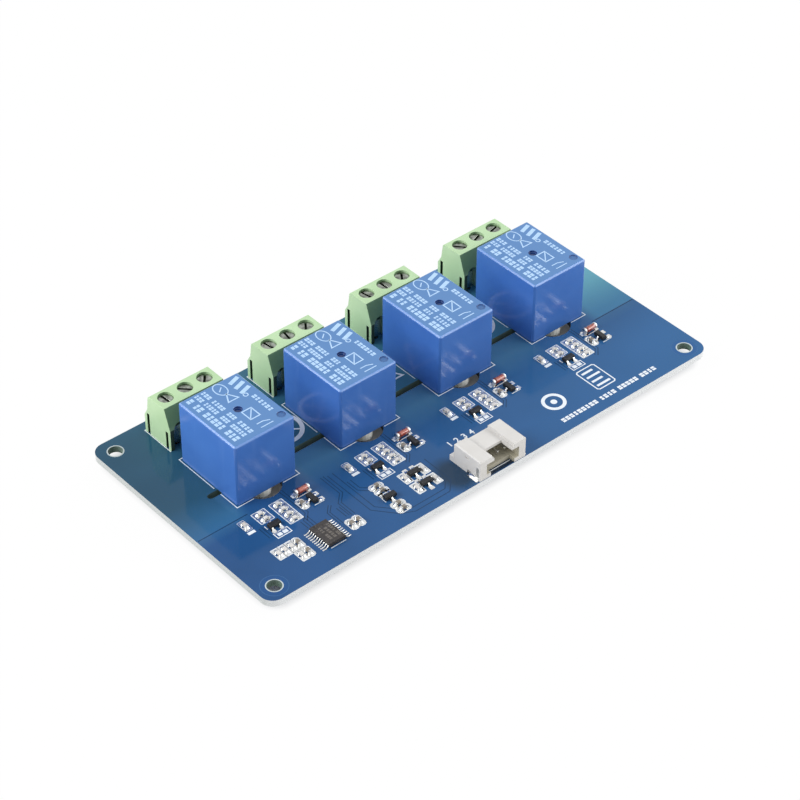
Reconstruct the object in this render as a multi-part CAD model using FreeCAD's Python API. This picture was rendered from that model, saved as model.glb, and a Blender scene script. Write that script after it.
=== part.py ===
import FreeCAD, Part
import math
import os

from FreeCAD import Vector

# Relay module board: a row of equal relay channels on one printed board, each with a
# closed relay, a three pole screw terminal behind it and its driver parts in front,
# plus a controller chip and a white cable socket at the front edge.
# Frame: origin at the centre of the four mounting holes, on the underside of the board;
# X along the row of relays, Y from the socket edge to the terminal edge, Z up.
# All sizes are in millimetres. Distances called "from_front" count from the socket edge.

# Round work that repeats is cut to flats, which stay about this close to the true circle
round_error = 0.04
# The same for what the closed relays hide
hidden_round_error = 0.12
# Two lengths closer than this count as equal
tolerance = 0.0001

# Printed board
channel_count = 4
end_margin = 20.5
board_length = 122.99
board_width = 60.6
board_thickness = 1.6
corner_radius = 3.0
hole_inset_x = 4.0
hole_inset_y = 3.8
mounting_hole_radius = 1.6
pin_tail = 1.9
pin_hole_clearance = 0.15

# Isolation slots milled through the board
slot_width = 1.5
slot_reach_under_relay = 0.9
slot_run_past_relay = 3.1
slot_from_common_pin = 3.9
moat_outer_radius = 4.4
moat_inner_radius = 2.1
moat_leg = 2.6

# Relay case
relay_to_terminal = 3.4
relay_width = 15.4
relay_length = 19.0
relay_height = 15.5
case_wall = 0.8
case_bevel = 0.4
vent_radius = 0.95
vent_depth = 0.55
vent_side = 0.38
vent_before_middle = 0.2
gate_mark_depth = 0.25
gate_mark_inset = 1.65
gate_mark_from_front = 2.35
base_lift = 0.4
base_thickness = 1.1
base_clearance = 0.05
slot_clearance = 0.1

# Relay pins
common_pin_from_front = 2.1
coil_pin_setback = 2.0
contact_pin_from_back = 2.7
pin_inset = 1.7
coil_pin_size = 0.6
blade_pin_width = 1.0
blade_pin_thickness = 0.4

# Relay coil, core and yoke
yoke_thickness = 1.2
yoke_inset = 0.3
flange_gap = 0.15
flange_to_contact = 1.65
height_beside_winding = 9.1
bobbin_wall = 0.6
flange_thickness = 0.8
flange_overhang = 0.2
flange_ear_length = 1.8
core_clearance = 0.05
core_tail_step = 0.8
pole_inset = 1.2
pole_thickness = 0.5
coil_pin_rise = 1.1

# Relay armature and contacts
armature_thickness = 1.0
armature_inset = 0.3
armature_gap = 0.1
armature_past_pole = 0.3
hinge_gap = 0.05
rest_angle = 3.5
contact_from_back = 4.9
blade_thickness = 0.25
blade_width = 3.0
blade_root = 3.6
blade_past_contact = 1.2
contact_radius = 1.1
contact_rise = 0.35
contact_gap = 0.06
fixed_arm_thickness = 0.35
fixed_arm_width = 2.6
fixed_strip_width = 1.6
return_leaf_width = 5.0
return_leaf_length = 5.0

# Screw terminals
pole_count = 3
pole_pitch = 5.08
terminal_end_wall = 0.1
terminal_depth = 9.0
terminal_height = 10.4
terminal_from_back = 2.5
front_slope_start = 5.4
front_slope_depth = 1.7
window_past_slope = 1.0
back_lug_height = 4.6
back_step_height = 6.5
back_step_depth = 1.1
back_top_depth = 1.6
top_bevel = 0.4
screw_from_front = 4.65
groove_width = 0.8
groove_depth = 0.9
groove_front_y = 1.25
groove_back_y = 7.7
groove_front_height = 4.5
groove_back_height = 5.4
rib_clearance = 0.1
well_radius = 1.75
ledge_thickness = 0.6
head_height = 1.3
head_sink = 0.5
head_clearance = 0.12
driver_slot_width = 0.5
driver_slot_depth = 0.6
shank_radius = 1.25
shank_clearance = 0.1
thread_clearance = 0.08
screw_end_play = 0.05
chamber_width = 4.2
chamber_depth = 4.0
chamber_floor = 0.6
wire_entry_width = 3.2
wire_funnel_flare = 0.45
wire_funnel_depth = 0.8
window_width = 3.4

# Rising clamps and fixed contacts of the terminals
cage_side_clearance = 0.15
cage_depth_clearance = 0.2
cage_rest_gap = 0.1
cage_floor = 0.6
cage_wall = 0.5
cage_roof = 1.0
wire_space = 2.6
bar_thickness = 0.7
bar_width = 2.4
bar_clearance = 0.1
bar_end_gap = 0.25
strip_from_front = 1.5
strip_thickness = 0.6
terminal_pin_width = 1.0
# Directions that the driver slots were left at, in degrees, from the first screw to the last
driver_slot_angles = (95, 135, 50, 100, 80, 53, 100, 92, 55, 128, 20, 15)

# Chip resistors, capacitors and indicators
chip_length = 1.6
chip_width = 0.8
resistor_height = 0.5
capacitor_height = 0.8
indicator_height = 0.7

# Small transistors
transistor_length = 2.9
transistor_width = 1.3
transistor_height = 1.0
transistor_lift = 0.08
transistor_lead_pitch = 1.9
transistor_lead_width = 0.42
transistor_span = 2.4
lead_thickness = 0.13
draft = 0.12
parting_share = 0.45
lead_leave_share = 0.4

# Controller chip
controller_length = 6.5
controller_width = 4.4
controller_height = 0.95
controller_span = 6.4
controller_lead_count = 10
controller_lead_pitch = 0.65
controller_lead_width = 0.24
controller_from_channel = 0.7
controller_share = 0.3071
index_radius = 0.4
index_inset = 0.76
index_depth = 0.1

# Glass diodes
diode_length = 3.5
diode_radius = 0.72
diode_cap_length = 0.45
diode_cap_lip = 0.04

# Cable socket
socket_width = 12.7
socket_depth = 8.1
socket_height = 5.2
socket_setback = 0.1
socket_recess_width = 6.0
socket_recess_depth = 0.8
socket_floor = 1.0
socket_roof = 0.7
socket_back_wall = 1.5
mouth_width = 9.0
mouth_notch_width = 6.6
mouth_notch_depth = 1.6
latch_window_width = 4.9
latch_window_depth = 3.3
socket_foot_length = 1.3
socket_foot_width = 1.2
socket_foot_height = 1.4
socket_bevel = 0.25
socket_pin_count = 4
socket_pin_pitch = 2.0
socket_pin_size = 0.5
socket_pin_clearance = 0.02
socket_pin_tip = 2.6
socket_pin_drop = 0.5
socket_pin_foot = 1.0
socket_pin_foot_thickness = 0.25
tab_length = 2.9
tab_from_mouth = 0.4
tab_height = 1.0
tab_thickness = 0.4
tab_notch = 0.7
tab_prong_width = 0.8
tab_prong_height = 3.3
side_pocket_length = 1.0
side_pocket_from_mouth = 4.1
side_pocket_size = 0.4

# Sizes worked out from the ones above
channel_pitch = (board_length - 2 * end_margin) / (channel_count - 1)
front_edge = -board_width / 2
back_edge = board_width / 2
pin_end = -board_thickness - pin_tail
terminal_width = pole_count * pole_pitch + 2 * terminal_end_wall
channel_centres = [(k - (channel_count - 1) / 2) * channel_pitch for k in range(channel_count)]
pole_centres = [(k - (pole_count - 1) / 2) * pole_pitch for k in range(pole_count)]


def block(x, y, z, length, width, height):
    """A box centred on x and y, standing on z."""
    return Part.makeBox(length, width, height, Vector(x - length / 2, y - width / 2, z))


def span(x0, x1, y0, y1, z0, z1):
    """A box between two corners."""
    return Part.makeBox(x1 - x0, y1 - y0, z1 - z0, Vector(x0, y0, z0))


def round_bar(x, y, z, radius, length, axis="z", error=round_error):
    """A round bar, cut to flats, that runs from its first point along an axis."""
    quarter = max(2, round(math.pi / math.acos(1 - error / radius) / 4))
    step = math.pi / (2 * quarter)
    points = [Vector(radius * math.cos(step * k), radius * math.sin(step * k), 0)
              for k in range(4 * quarter)]
    bar = Part.Face(Part.makePolygon(points + points[:1])).extrude(Vector(0, 0, length))
    if axis == "x":
        bar.rotate(Vector(0, 0, 0), Vector(0, 1, 0), 90)
    if axis == "y":
        bar.rotate(Vector(0, 0, 0), Vector(1, 0, 0), -90)
    bar.translate(Vector(x, y, z))
    return bar


def rod(x, y, z, radius, height):
    """An upright round bar standing on z."""
    return round_bar(x, y, z, radius, height)


def hidden_rod(y, z, radius, height):
    """An upright round bar in the middle plane of a relay, with as few flats as it needs."""
    return round_bar(0, y, z, radius, height, error=hidden_round_error)


def moved(shape, x=0.0, y=0.0, z=0.0):
    """A copy of the shape, shifted."""
    copy = shape.copy()
    copy.translate(Vector(x, y, z))
    return copy


def turned(shape, degrees):
    """A copy of the shape, turned about the upright axis through the origin."""
    copy = shape.copy()
    copy.rotate(Vector(0, 0, 0), Vector(0, 0, 1), degrees)
    return copy


def on_side(profile, x0, x1):
    """A closed outline of (y, z) points, drawn out from x0 to x1."""
    points = [Vector(x0, y, z) for y, z in profile]
    face = Part.Face(Part.makePolygon(points + points[:1]))
    return face.extrude(Vector(x1 - x0, 0, 0))


def upright_edges(shape):
    """The straight edges of the shape that run along Z."""
    found = []
    for edge in shape.Edges:
        low, high = edge.Vertexes[0].Point, edge.Vertexes[-1].Point
        upright = abs(low.x - high.x) < tolerance and abs(low.y - high.y) < tolerance
        if upright and abs(low.z - high.z) > tolerance:
            found.append(edge)
    return found


def edges_at_height(shape, height):
    """The edges of the shape that lie wholly at one height."""
    return [edge for edge in shape.Edges
            if abs(edge.BoundBox.ZMin - height) < tolerance
            and abs(edge.BoundBox.ZMax - height) < tolerance]


def drafted_body(length, width, low, high):
    """A moulded chip body: widest at its parting line, drawn in above and below it."""
    middle = low + (high - low) * parting_share

    def outline(z, inset):
        half_x = length / 2 - inset
        half_y = width / 2 - inset
        points = [Vector(-half_x, -half_y, z), Vector(half_x, -half_y, z),
                  Vector(half_x, half_y, z), Vector(-half_x, half_y, z)]
        return Part.makePolygon(points + points[:1])

    lower = Part.makeLoft([outline(low, draft), outline(middle, 0.0)], True)
    upper = Part.makeLoft([outline(middle, 0.0), outline(high, draft)], True)
    return lower.fuse(upper)


def gull_lead(body_half, tip, leave_height, width):
    """A lead that slopes down from the body along +Y and ends in a flat foot."""
    ankle = (body_half + tip) / 2
    t = lead_thickness
    profile = [(body_half, leave_height), (ankle, 0.0), (tip, 0.0),
               (tip, t), (ankle + t, t), (body_half, leave_height + t)]
    return on_side(profile, -width / 2, width / 2)


def slot_between(x0, x1, y):
    """A round ended milling slot along X, through the board."""
    radius = slot_width / 2
    cut = span(x0 + radius, x1 - radius, y - radius, y + radius, 0, board_thickness)
    for x in (x0 + radius, x1 - radius):
        cut = cut.fuse(rod(x, y, 0, radius, board_thickness))
    return cut


def moat(x, y):
    """The U shaped slot that keeps the common pin apart from the two coil pins."""
    leg_width = moat_outer_radius - moat_inner_radius
    leg_centre = (moat_outer_radius + moat_inner_radius) / 2
    outer = rod(x, y, 0, moat_outer_radius, board_thickness)
    outer = outer.fuse(span(x - moat_outer_radius, x + moat_outer_radius, y, y + moat_leg,
                            0, board_thickness))
    beyond = moat_outer_radius + moat_leg
    inner = rod(x, y, 0, moat_inner_radius, board_thickness)
    inner = inner.fuse(span(x - moat_inner_radius, x + moat_inner_radius, y, y + beyond,
                            0, board_thickness))
    cut = outer.cut(span(x - beyond, x + beyond, y + moat_leg, y + 2 * beyond, 0, board_thickness))
    cut = cut.cut(inner)
    for side in (-1, 1):
        cut = cut.fuse(rod(x + side * leg_centre, y + moat_leg, 0, leg_width / 2, board_thickness))
    return cut


def round_hole_for(width, thickness):
    """Radius of the plated hole that a flat pin passes through."""
    return math.hypot(width, thickness) / 2 + pin_hole_clearance


terminal_front = back_edge - terminal_from_back - terminal_depth
relay_front = terminal_front - relay_to_terminal - relay_length
front_zone = relay_front - front_edge
pin_side = relay_width / 2 - pin_inset
coil_pin_from_front = common_pin_from_front + coil_pin_setback
contact_pin_from_front = relay_length - contact_pin_from_back
common_pin_y = relay_front + common_pin_from_front
coil_pin_y = relay_front + coil_pin_from_front
contact_pin_y = relay_front + contact_pin_from_front
strip_y = strip_from_front + strip_thickness / 2


def printed_board():
    """The drilled and slotted board that carries every other piece."""
    plate = block(0, 0, 0, board_length, board_width, board_thickness)
    plate = plate.makeFillet(corner_radius, upright_edges(plate))
    cuts = []
    for side_x in (-1, 1):
        for side_y in (-1, 1):
            x = side_x * (board_length / 2 - hole_inset_x)
            y = side_y * (board_width / 2 - hole_inset_y)
            cuts.append(Part.makeCylinder(mounting_hole_radius, board_thickness, Vector(x, y, 0)))
    coil_hole = round_hole_for(coil_pin_size, coil_pin_size)
    blade_hole = round_hole_for(blade_pin_width, blade_pin_thickness)
    terminal_hole = round_hole_for(terminal_pin_width, strip_thickness)
    for x in channel_centres:
        cuts.append(rod(x, common_pin_y, 0, blade_hole, board_thickness))
        for side in (-1, 1):
            cuts.append(rod(x + side * pin_side, coil_pin_y, 0, coil_hole, board_thickness))
            cuts.append(rod(x + side * pin_side, contact_pin_y, 0, blade_hole, board_thickness))
        for pole in pole_centres:
            cuts.append(rod(x + pole, terminal_front + strip_y, 0, terminal_hole, board_thickness))
        cuts.append(moat(x, common_pin_y))
    slot_y = common_pin_y + slot_from_common_pin
    under = relay_width / 2 - slot_reach_under_relay
    past = relay_width / 2 + slot_run_past_relay
    for left, right in zip(channel_centres[:-1], channel_centres[1:]):
        cuts.append(slot_between(left + under, right - under, slot_y))
    cuts.append(slot_between(channel_centres[0] - past, channel_centres[0] - under, slot_y))
    cuts.append(slot_between(channel_centres[-1] + under, channel_centres[-1] + past, slot_y))
    return plate.cut(cuts)


# Relay widths and depths, counted from the middle and the front of the case
yoke_front = common_pin_from_front - yoke_thickness / 2
yoke_back = common_pin_from_front + yoke_thickness / 2
hinge_y = yoke_front
contact_y = relay_length - contact_from_back
flange_half = (contact_y - flange_to_contact - yoke_back - flange_gap) / 2
winding_y = yoke_back + flange_gap + flange_half
winding_radius = flange_half - flange_overhang
pole_radius = winding_radius - pole_inset
core_radius = winding_radius / 2
core_tail_radius = core_radius - core_tail_step
yoke_width = 2 * (flange_half - yoke_inset)
armature_width = yoke_width - 2 * armature_inset

# Relay heights, counted from the top of the board
winding_height = relay_height - height_beside_winding
base_top = base_lift + base_thickness
yoke_floor_top = base_top + yoke_thickness
winding_low = yoke_floor_top + flange_thickness
winding_high = winding_low + winding_height
bobbin_top = winding_high + flange_thickness
pole_top = bobbin_top + pole_thickness
armature_low = pole_top + armature_gap
armature_high = armature_low + armature_thickness
hinge_z = pole_top + hinge_gap


def relay_cover():
    """The moulded case: a deep cap with bevelled edges, a vent and a gate mark on top."""
    shell = span(-relay_width / 2, relay_width / 2, 0, relay_length, 0, relay_height)
    edges = upright_edges(shell) + edges_at_height(shell, relay_height)
    shell = shell.makeChamfer(case_bevel, edges)
    inner = span(-relay_width / 2 + case_wall, relay_width / 2 - case_wall,
                 case_wall, relay_length - case_wall, 0, relay_height - case_wall)
    shell = shell.cut(inner)
    vent = rod(vent_side, relay_length / 2 - vent_before_middle, relay_height - vent_depth,
               vent_radius, vent_depth)
    gate = rod(relay_width / 2 - gate_mark_inset, gate_mark_from_front,
               relay_height - gate_mark_depth, vent_radius, gate_mark_depth)
    return shell.cut([vent, gate])


def relay_base():
    """The plate that closes the case from below, slotted for the pins."""
    inset = case_wall + base_clearance
    plate = span(-relay_width / 2 + inset, relay_width / 2 - inset,
                 inset, relay_length - inset, base_lift, base_top)
    blade_x = blade_pin_width + 2 * slot_clearance
    blade_y = blade_pin_thickness + 2 * slot_clearance
    coil = coil_pin_size + 2 * slot_clearance
    cuts = [block(0, common_pin_from_front, base_lift, blade_x, blade_y, base_thickness)]
    for side in (-1, 1):
        cuts.append(block(side * pin_side, coil_pin_from_front, base_lift,
                          coil, coil, base_thickness))
        cuts.append(block(side * pin_side, contact_pin_from_front, base_lift,
                          blade_x, blade_y, base_thickness))
    return plate.cut(cuts)


def relay_yoke():
    """The bent iron yoke, standing behind the front wall, with the common pin below it."""
    back = winding_y + winding_radius
    upright = span(-yoke_width / 2, yoke_width / 2, yoke_front, yoke_front + yoke_thickness,
                   base_top, pole_top)
    floor = span(-yoke_width / 2, yoke_width / 2, yoke_front, back, base_top, yoke_floor_top)
    pin = block(0, common_pin_from_front, pin_end, blade_pin_width, blade_pin_thickness,
                base_top - pin_end)
    bent = upright.fuse([floor, pin])
    return bent.cut(hidden_rod(winding_y, base_top, core_tail_radius + core_clearance,
                               yoke_thickness))


def relay_core():
    """The soft iron core, riveted into the yoke, with a wider pole face on top."""
    tail = hidden_rod(winding_y, base_top, core_tail_radius, yoke_thickness)
    stem = hidden_rod(winding_y, yoke_floor_top, core_radius, bobbin_top - yoke_floor_top)
    pole = hidden_rod(winding_y, bobbin_top, pole_radius, pole_thickness)
    return tail.fuse([stem, pole])


def relay_bobbin():
    """The moulded coil former: two square flanges on a tube, with ears for the coil pins."""
    bore = core_radius + core_clearance
    side = 2 * flange_half
    tube = hidden_rod(winding_y, winding_low, bore + bobbin_wall, winding_height)
    lower = block(0, winding_y, yoke_floor_top, side, side, flange_thickness)
    upper = block(0, winding_y, winding_high, side, side, flange_thickness)
    ear_span = 2 * pin_side + 2 * coil_pin_size
    ears = block(0, coil_pin_from_front, yoke_floor_top, ear_span, flange_ear_length,
                 flange_thickness)
    former = tube.fuse([lower, upper, ears])
    cuts = [hidden_rod(winding_y, yoke_floor_top, bore, bobbin_top - yoke_floor_top)]
    for side in (-1, 1):
        cuts.append(block(side * pin_side, coil_pin_from_front, yoke_floor_top,
                          coil_pin_size, coil_pin_size, flange_thickness))
    return former.cut(cuts)


def relay_winding():
    """The copper wire of the coil, as the one ring that it fills."""
    inner = core_radius + core_clearance + bobbin_wall
    ring = hidden_rod(winding_y, winding_low, winding_radius, winding_height)
    return ring.cut(hidden_rod(winding_y, winding_low, inner, winding_height))


def relay_coil_pins():
    """The two square pins that the ends of the winding are wrapped on."""
    height = winding_low + coil_pin_rise - pin_end
    return [block(side * pin_side, coil_pin_from_front, pin_end,
                  coil_pin_size, coil_pin_size, height) for side in (-1, 1)]


def relay_armature():
    """The hinged iron plate with its contact blade, in the raised place it rests in."""
    back = winding_y + pole_radius + armature_past_pole
    plate = span(-armature_width / 2, armature_width / 2, hinge_y, back,
                 armature_low, armature_high)
    blade = span(-blade_width / 2, blade_width / 2, hinge_y + blade_root,
                 contact_y + blade_past_contact, armature_high, armature_high + blade_thickness)
    rivet = hidden_rod(contact_y, armature_high - contact_rise, contact_radius,
                       blade_thickness + 2 * contact_rise)
    lever = plate.fuse([blade, rivet])
    lever.rotate(Vector(0, hinge_y, hinge_z), Vector(1, 0, 0), rest_angle)
    return lever


def relay_return_leaf():
    """The fixed leg of the return spring, on the outer side of the yoke."""
    return span(-return_leaf_width / 2, return_leaf_width / 2, yoke_front - blade_thickness,
                yoke_front, pole_top - return_leaf_length, pole_top)


def fixed_contact(side, arm_low, contact_low, contact_high):
    """A bent strip from its pin up to an arm that holds one fixed contact."""
    pin_y = contact_pin_from_front
    x = side * pin_side
    inner = -side * (contact_radius + blade_thickness)
    strip = block(x, pin_y, base_top, fixed_strip_width, blade_pin_thickness,
                  arm_low + fixed_arm_thickness - base_top)
    outer = x + side * fixed_strip_width / 2
    arm = span(min(inner, outer), max(inner, outer), contact_y - fixed_arm_width / 2,
               pin_y + blade_pin_thickness / 2, arm_low, arm_low + fixed_arm_thickness)
    pin = block(x, pin_y, pin_end, blade_pin_width, blade_pin_thickness, base_top - pin_end)
    face = hidden_rod(contact_y, contact_low, contact_radius, contact_high - contact_low)
    return strip.fuse([arm, pin, face])


def relay_fixed_contacts():
    """The pair that the moving contact swings between: below when pulled, above at rest."""
    moving_low = armature_high - contact_rise
    moving_high = armature_high + blade_thickness + contact_rise
    angle = math.radians(rest_angle)
    raised_top = hinge_z + (moving_high - hinge_z) * math.cos(angle)
    raised_top += (contact_y + contact_radius - hinge_y) * math.sin(angle)
    lower_face = moving_low - contact_gap
    upper_face = raised_top + contact_gap
    lower = fixed_contact(-1, lower_face - contact_rise - fixed_arm_thickness,
                          lower_face - contact_rise, lower_face)
    upper = fixed_contact(1, upper_face + contact_rise, upper_face, upper_face + contact_rise)
    return [lower, upper]


# Terminal heights, counted from the top of the board
head_top = terminal_height - head_sink
ledge_top = head_top - head_height
chamber_top = ledge_top - ledge_thickness
cage_low = chamber_floor + cage_rest_gap
wire_low = cage_low + cage_floor
bar_low = wire_low + wire_space
bar_top = bar_low + bar_thickness
roof_low = bar_top + bar_clearance
cage_top = roof_low + cage_roof
cage_travel = chamber_top - cage_top - cage_rest_gap


def terminal_housing():
    """The moulded terminal body, with its screw wells, clamp chambers and wire entries."""
    back = terminal_depth
    profile = [(0, 0), (0, front_slope_start), (front_slope_depth, terminal_height),
               (back - back_top_depth - top_bevel, terminal_height),
               (back - back_top_depth, terminal_height - top_bevel),
               (back - back_step_depth, back_step_height), (back, back_lug_height), (back, 0)]
    half = terminal_width / 2
    body = on_side(profile, -half, half)
    for y, height in ((groove_front_y, groove_front_height), (groove_back_y, groove_back_height)):
        rib = block(half + groove_depth / 2 - rib_clearance, y, 0,
                    groove_depth, groove_width - 2 * rib_clearance, height - rib_clearance)
        body = body.fuse(rib)
    cuts = []
    for y, height in ((groove_front_y, groove_front_height), (groove_back_y, groove_back_height)):
        cuts.append(span(-half, -half + groove_depth, y - groove_width / 2, y + groove_width / 2,
                         0, height))
    for x in pole_centres:
        cuts.extend(pole_cuts(x))
    return body.cut(cuts)


def pole_cuts(x):
    """What is hollow in the housing at one pole."""
    y = screw_from_front
    chamber_back = y + chamber_depth / 2
    well = rod(x, y, ledge_top, well_radius, terminal_height - ledge_top)
    shank_hole = rod(x, y, chamber_top, shank_radius + shank_clearance, ledge_thickness)
    chamber = block(x, y, chamber_floor, chamber_width, chamber_depth, chamber_top - chamber_floor)
    half = wire_entry_width / 2
    entry = span(x - half, x + half, chamber_back, terminal_depth, wire_low, bar_low)
    funnel = wire_funnel(x, half)
    arch = window_width / 2
    arch_height = front_slope_start - arch + window_past_slope
    window = span(x - arch, x + arch, 0, y, 0, arch_height)
    window = window.fuse(round_bar(x, 0, arch_height, arch, y, "y"))
    window = window.common(span(x - arch, x + arch, 0, y - chamber_depth / 2,
                                0, terminal_height))
    return [well, shank_hole, chamber, entry, funnel, window]


def wire_funnel(x, half):
    """The flare that guides a wire in from the back."""
    inner_y = terminal_depth - wire_funnel_depth

    def outline(y, grow):
        left, right = x - half - grow, x + half + grow
        low, high = wire_low - grow, bar_low + grow
        points = [Vector(left, y, low), Vector(right, y, low),
                  Vector(right, y, high), Vector(left, y, high)]
        return Part.makePolygon(points + points[:1])

    return Part.makeLoft([outline(inner_y, 0.0), outline(terminal_depth, wire_funnel_flare)], True)


def clamp_screw(slot_angle):
    """A slotted steel screw, held in its well, that turns without rising."""
    radius = well_radius - head_clearance
    head_low = ledge_top + screw_end_play
    head = rod(0, 0, head_low, radius, head_top - head_low)
    driver_slot = block(0, 0, head_top - driver_slot_depth, 2 * well_radius, driver_slot_width,
                        driver_slot_depth)
    head = head.cut(turned(driver_slot, slot_angle))
    shank_low = bar_top + screw_end_play
    return head.fuse(rod(0, 0, shank_low, shank_radius, head_low - shank_low))


def clamp_cage():
    """The rising clamp: a square steel loop, threaded on the screw, in its lowest place."""
    width = chamber_width - 2 * cage_side_clearance
    depth = chamber_depth - 2 * cage_depth_clearance
    loop = block(0, 0, cage_low, width, depth, cage_top - cage_low)
    hollow = block(0, 0, wire_low, width - 2 * cage_wall, depth, roof_low - wire_low)
    thread = rod(0, 0, roof_low, shank_radius + thread_clearance, cage_roof)
    return loop.cut([hollow, thread])


def terminal_contact(x):
    """The fixed strip of one pole: a bar that the wire is pressed to, and its board pin."""
    bar_back = screw_from_front + chamber_depth / 2 - bar_end_gap
    bar = span(x - bar_width / 2, x + bar_width / 2, strip_from_front, bar_back, bar_low, bar_top)
    strip = span(x - bar_width / 2, x + bar_width / 2, strip_from_front,
                 strip_from_front + strip_thickness, 0, bar_top)
    pin = block(x, strip_y, pin_end, terminal_pin_width, strip_thickness, -pin_end)
    return bar.fuse([strip, pin])


def chip(x, y, height, upright=False):
    """A two ended chip part with its plated ends. Upright ones lie along Y."""
    if upright:
        return block(x, y, board_thickness, chip_width, chip_length, height)
    return block(x, y, board_thickness, chip_length, chip_width, height)


def transistor(x, y, angle):
    """A three lead transistor: its moulded body and its leads, two on the -Y side."""
    body = drafted_body(transistor_length, transistor_width, transistor_lift,
                        transistor_lift + transistor_height)
    leave = transistor_lift + transistor_height * lead_leave_share
    lead = gull_lead(transistor_width / 2, transistor_span / 2, leave, transistor_lead_width)
    half = transistor_lead_pitch / 2
    leads = [lead, moved(turned(lead, 180), -half), moved(turned(lead, 180), half)]
    body = moved(turned(body, angle), x, y, board_thickness)
    leads = [moved(turned(each, angle), x, y, board_thickness) for each in leads]
    return body, leads


def controller():
    """The controller chip: its body, marked at one corner, and two rows of leads."""
    low = transistor_lift
    body = drafted_body(controller_width, controller_length, low, low + controller_height)
    mark = rod(-controller_width / 2 + index_inset, controller_length / 2 - index_inset,
               low + controller_height - index_depth, index_radius, index_depth)
    body = body.cut(mark)
    leave = low + controller_height * lead_leave_share
    lead = gull_lead(controller_width / 2, controller_span / 2, leave, controller_lead_width)
    leads = []
    for side in (-90, 90):
        for k in range(controller_lead_count):
            along = (k - (controller_lead_count - 1) / 2) * controller_lead_pitch
            leads.append(moved(turned(lead, side), 0, along))
    x = channel_centres[0] + controller_from_channel
    y = front_edge + controller_share * front_zone
    body = moved(body, x, y, board_thickness)
    leads = [moved(each, x, y, board_thickness) for each in leads]
    return body, leads


def diode(x, y):
    """A round glass diode lying along X: its glass and its two end caps."""
    lift = board_thickness + diode_radius + diode_cap_lip
    glass_length = diode_length - 2 * diode_cap_length
    glass = round_bar(x - glass_length / 2, y, lift, diode_radius, glass_length, "x")
    caps = []
    for start in (-diode_length / 2, glass_length / 2):
        caps.append(round_bar(x + start, y, lift, diode_radius + diode_cap_lip,
                              diode_cap_length, "x"))
    return glass, caps


# Places of the channel parts: offset from the channel centre. Each row is a share of the depth
# in front of the relays, so that the rows keep their order on a narrower board.
indicator_offset = -10.3
indicator_row = 0.7903
input_pair_offset = -5.75
input_pair_rows = (0.7528, 0.8202)
driver_offset = -5.75
driver_row = 0.6479
resistor_stack_offset = -1.2
resistor_stack_rows = (0.6142, 0.6828, 0.7513, 0.8202)
channel_capacitor_offset = 2.7
channel_capacitor_row = 0.7004
second_transistor_offset = 5.1
second_transistor_row = 0.691
diode_offset = 4.85
diode_row = 0.809

# Places of the single parts: offset from the centre of channel one or two, and the same shares
controller_row = 0.3839
controller_second_row = 0.264
controller_row_offsets = (-10.2, -8.55, -6.9)
controller_row_capacitor = -5.25
decoupling_offsets = (6.45, 8.25)
decoupling_row = 0.279
supply_offset = -9.8
supply_rows = (0.161, 0.2266, 0.4195, 0.485)
regulator_row = 0.3221
shifter_offset = -1.25
shifter_resistor_side = 2.35
shifter_rows = (0.264, 0.4101)


def small_parts():
    """Every chip part, transistor and diode on the board, sorted by kind."""
    kinds = {"resistors": [], "capacitors": [], "indicators": [],
             "transistors": [], "transistor_leads": [], "diode_glasses": [], "diode_end_caps": []}

    def place_chip(kind, x, row, height, upright=False):
        kinds[kind].append(chip(x, front_edge + row * front_zone, height, upright))

    def place_transistor(x, row, angle):
        body, leads = transistor(x, front_edge + row * front_zone, angle)
        kinds["transistors"].append(body)
        kinds["transistor_leads"].extend(leads)

    for centre in channel_centres:
        place_chip("indicators", centre + indicator_offset, indicator_row,
                   indicator_height, upright=True)
        for row in input_pair_rows:
            place_chip("resistors", centre + input_pair_offset, row, resistor_height)
        for row in resistor_stack_rows:
            place_chip("resistors", centre + resistor_stack_offset, row, resistor_height)
        place_chip("capacitors", centre + channel_capacitor_offset, channel_capacitor_row,
                   capacitor_height, upright=True)
        place_transistor(centre + driver_offset, driver_row, 0)
        place_transistor(centre + second_transistor_offset, second_transistor_row, 90)
        glass, caps = diode(centre + diode_offset, front_edge + diode_row * front_zone)
        kinds["diode_glasses"].append(glass)
        kinds["diode_end_caps"].extend(caps)

    first = channel_centres[0]
    for offset in controller_row_offsets:
        place_chip("resistors", first + offset, controller_row, resistor_height, upright=True)
    place_chip("resistors", first + controller_row_offsets[-1], controller_second_row,
               resistor_height, upright=True)
    for row in (controller_row, controller_second_row):
        place_chip("capacitors", first + controller_row_capacitor, row, capacitor_height,
                   upright=True)
    for offset in decoupling_offsets:
        place_chip("capacitors", first + offset, decoupling_row, capacitor_height,
                   upright=True)

    second = channel_centres[1]
    for row in supply_rows:
        place_chip("capacitors", second + supply_offset, row, capacitor_height)
    place_transistor(second + supply_offset, regulator_row, 180)
    for row in shifter_rows:
        for side in (-1, 1):
            place_chip("resistors", second + shifter_offset + side * shifter_resistor_side, row,
                       resistor_height, upright=True)
        place_transistor(second + shifter_offset, row, 180)
    return kinds


# Socket heights, counted from the top of the board
recess_top = socket_height - socket_recess_depth
mouth_top = recess_top - socket_roof
socket_pin_height = (socket_floor + mouth_top) / 2
socket_pin_centres = [(k - (socket_pin_count - 1) / 2) * socket_pin_pitch
                      for k in range(socket_pin_count)]


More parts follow.
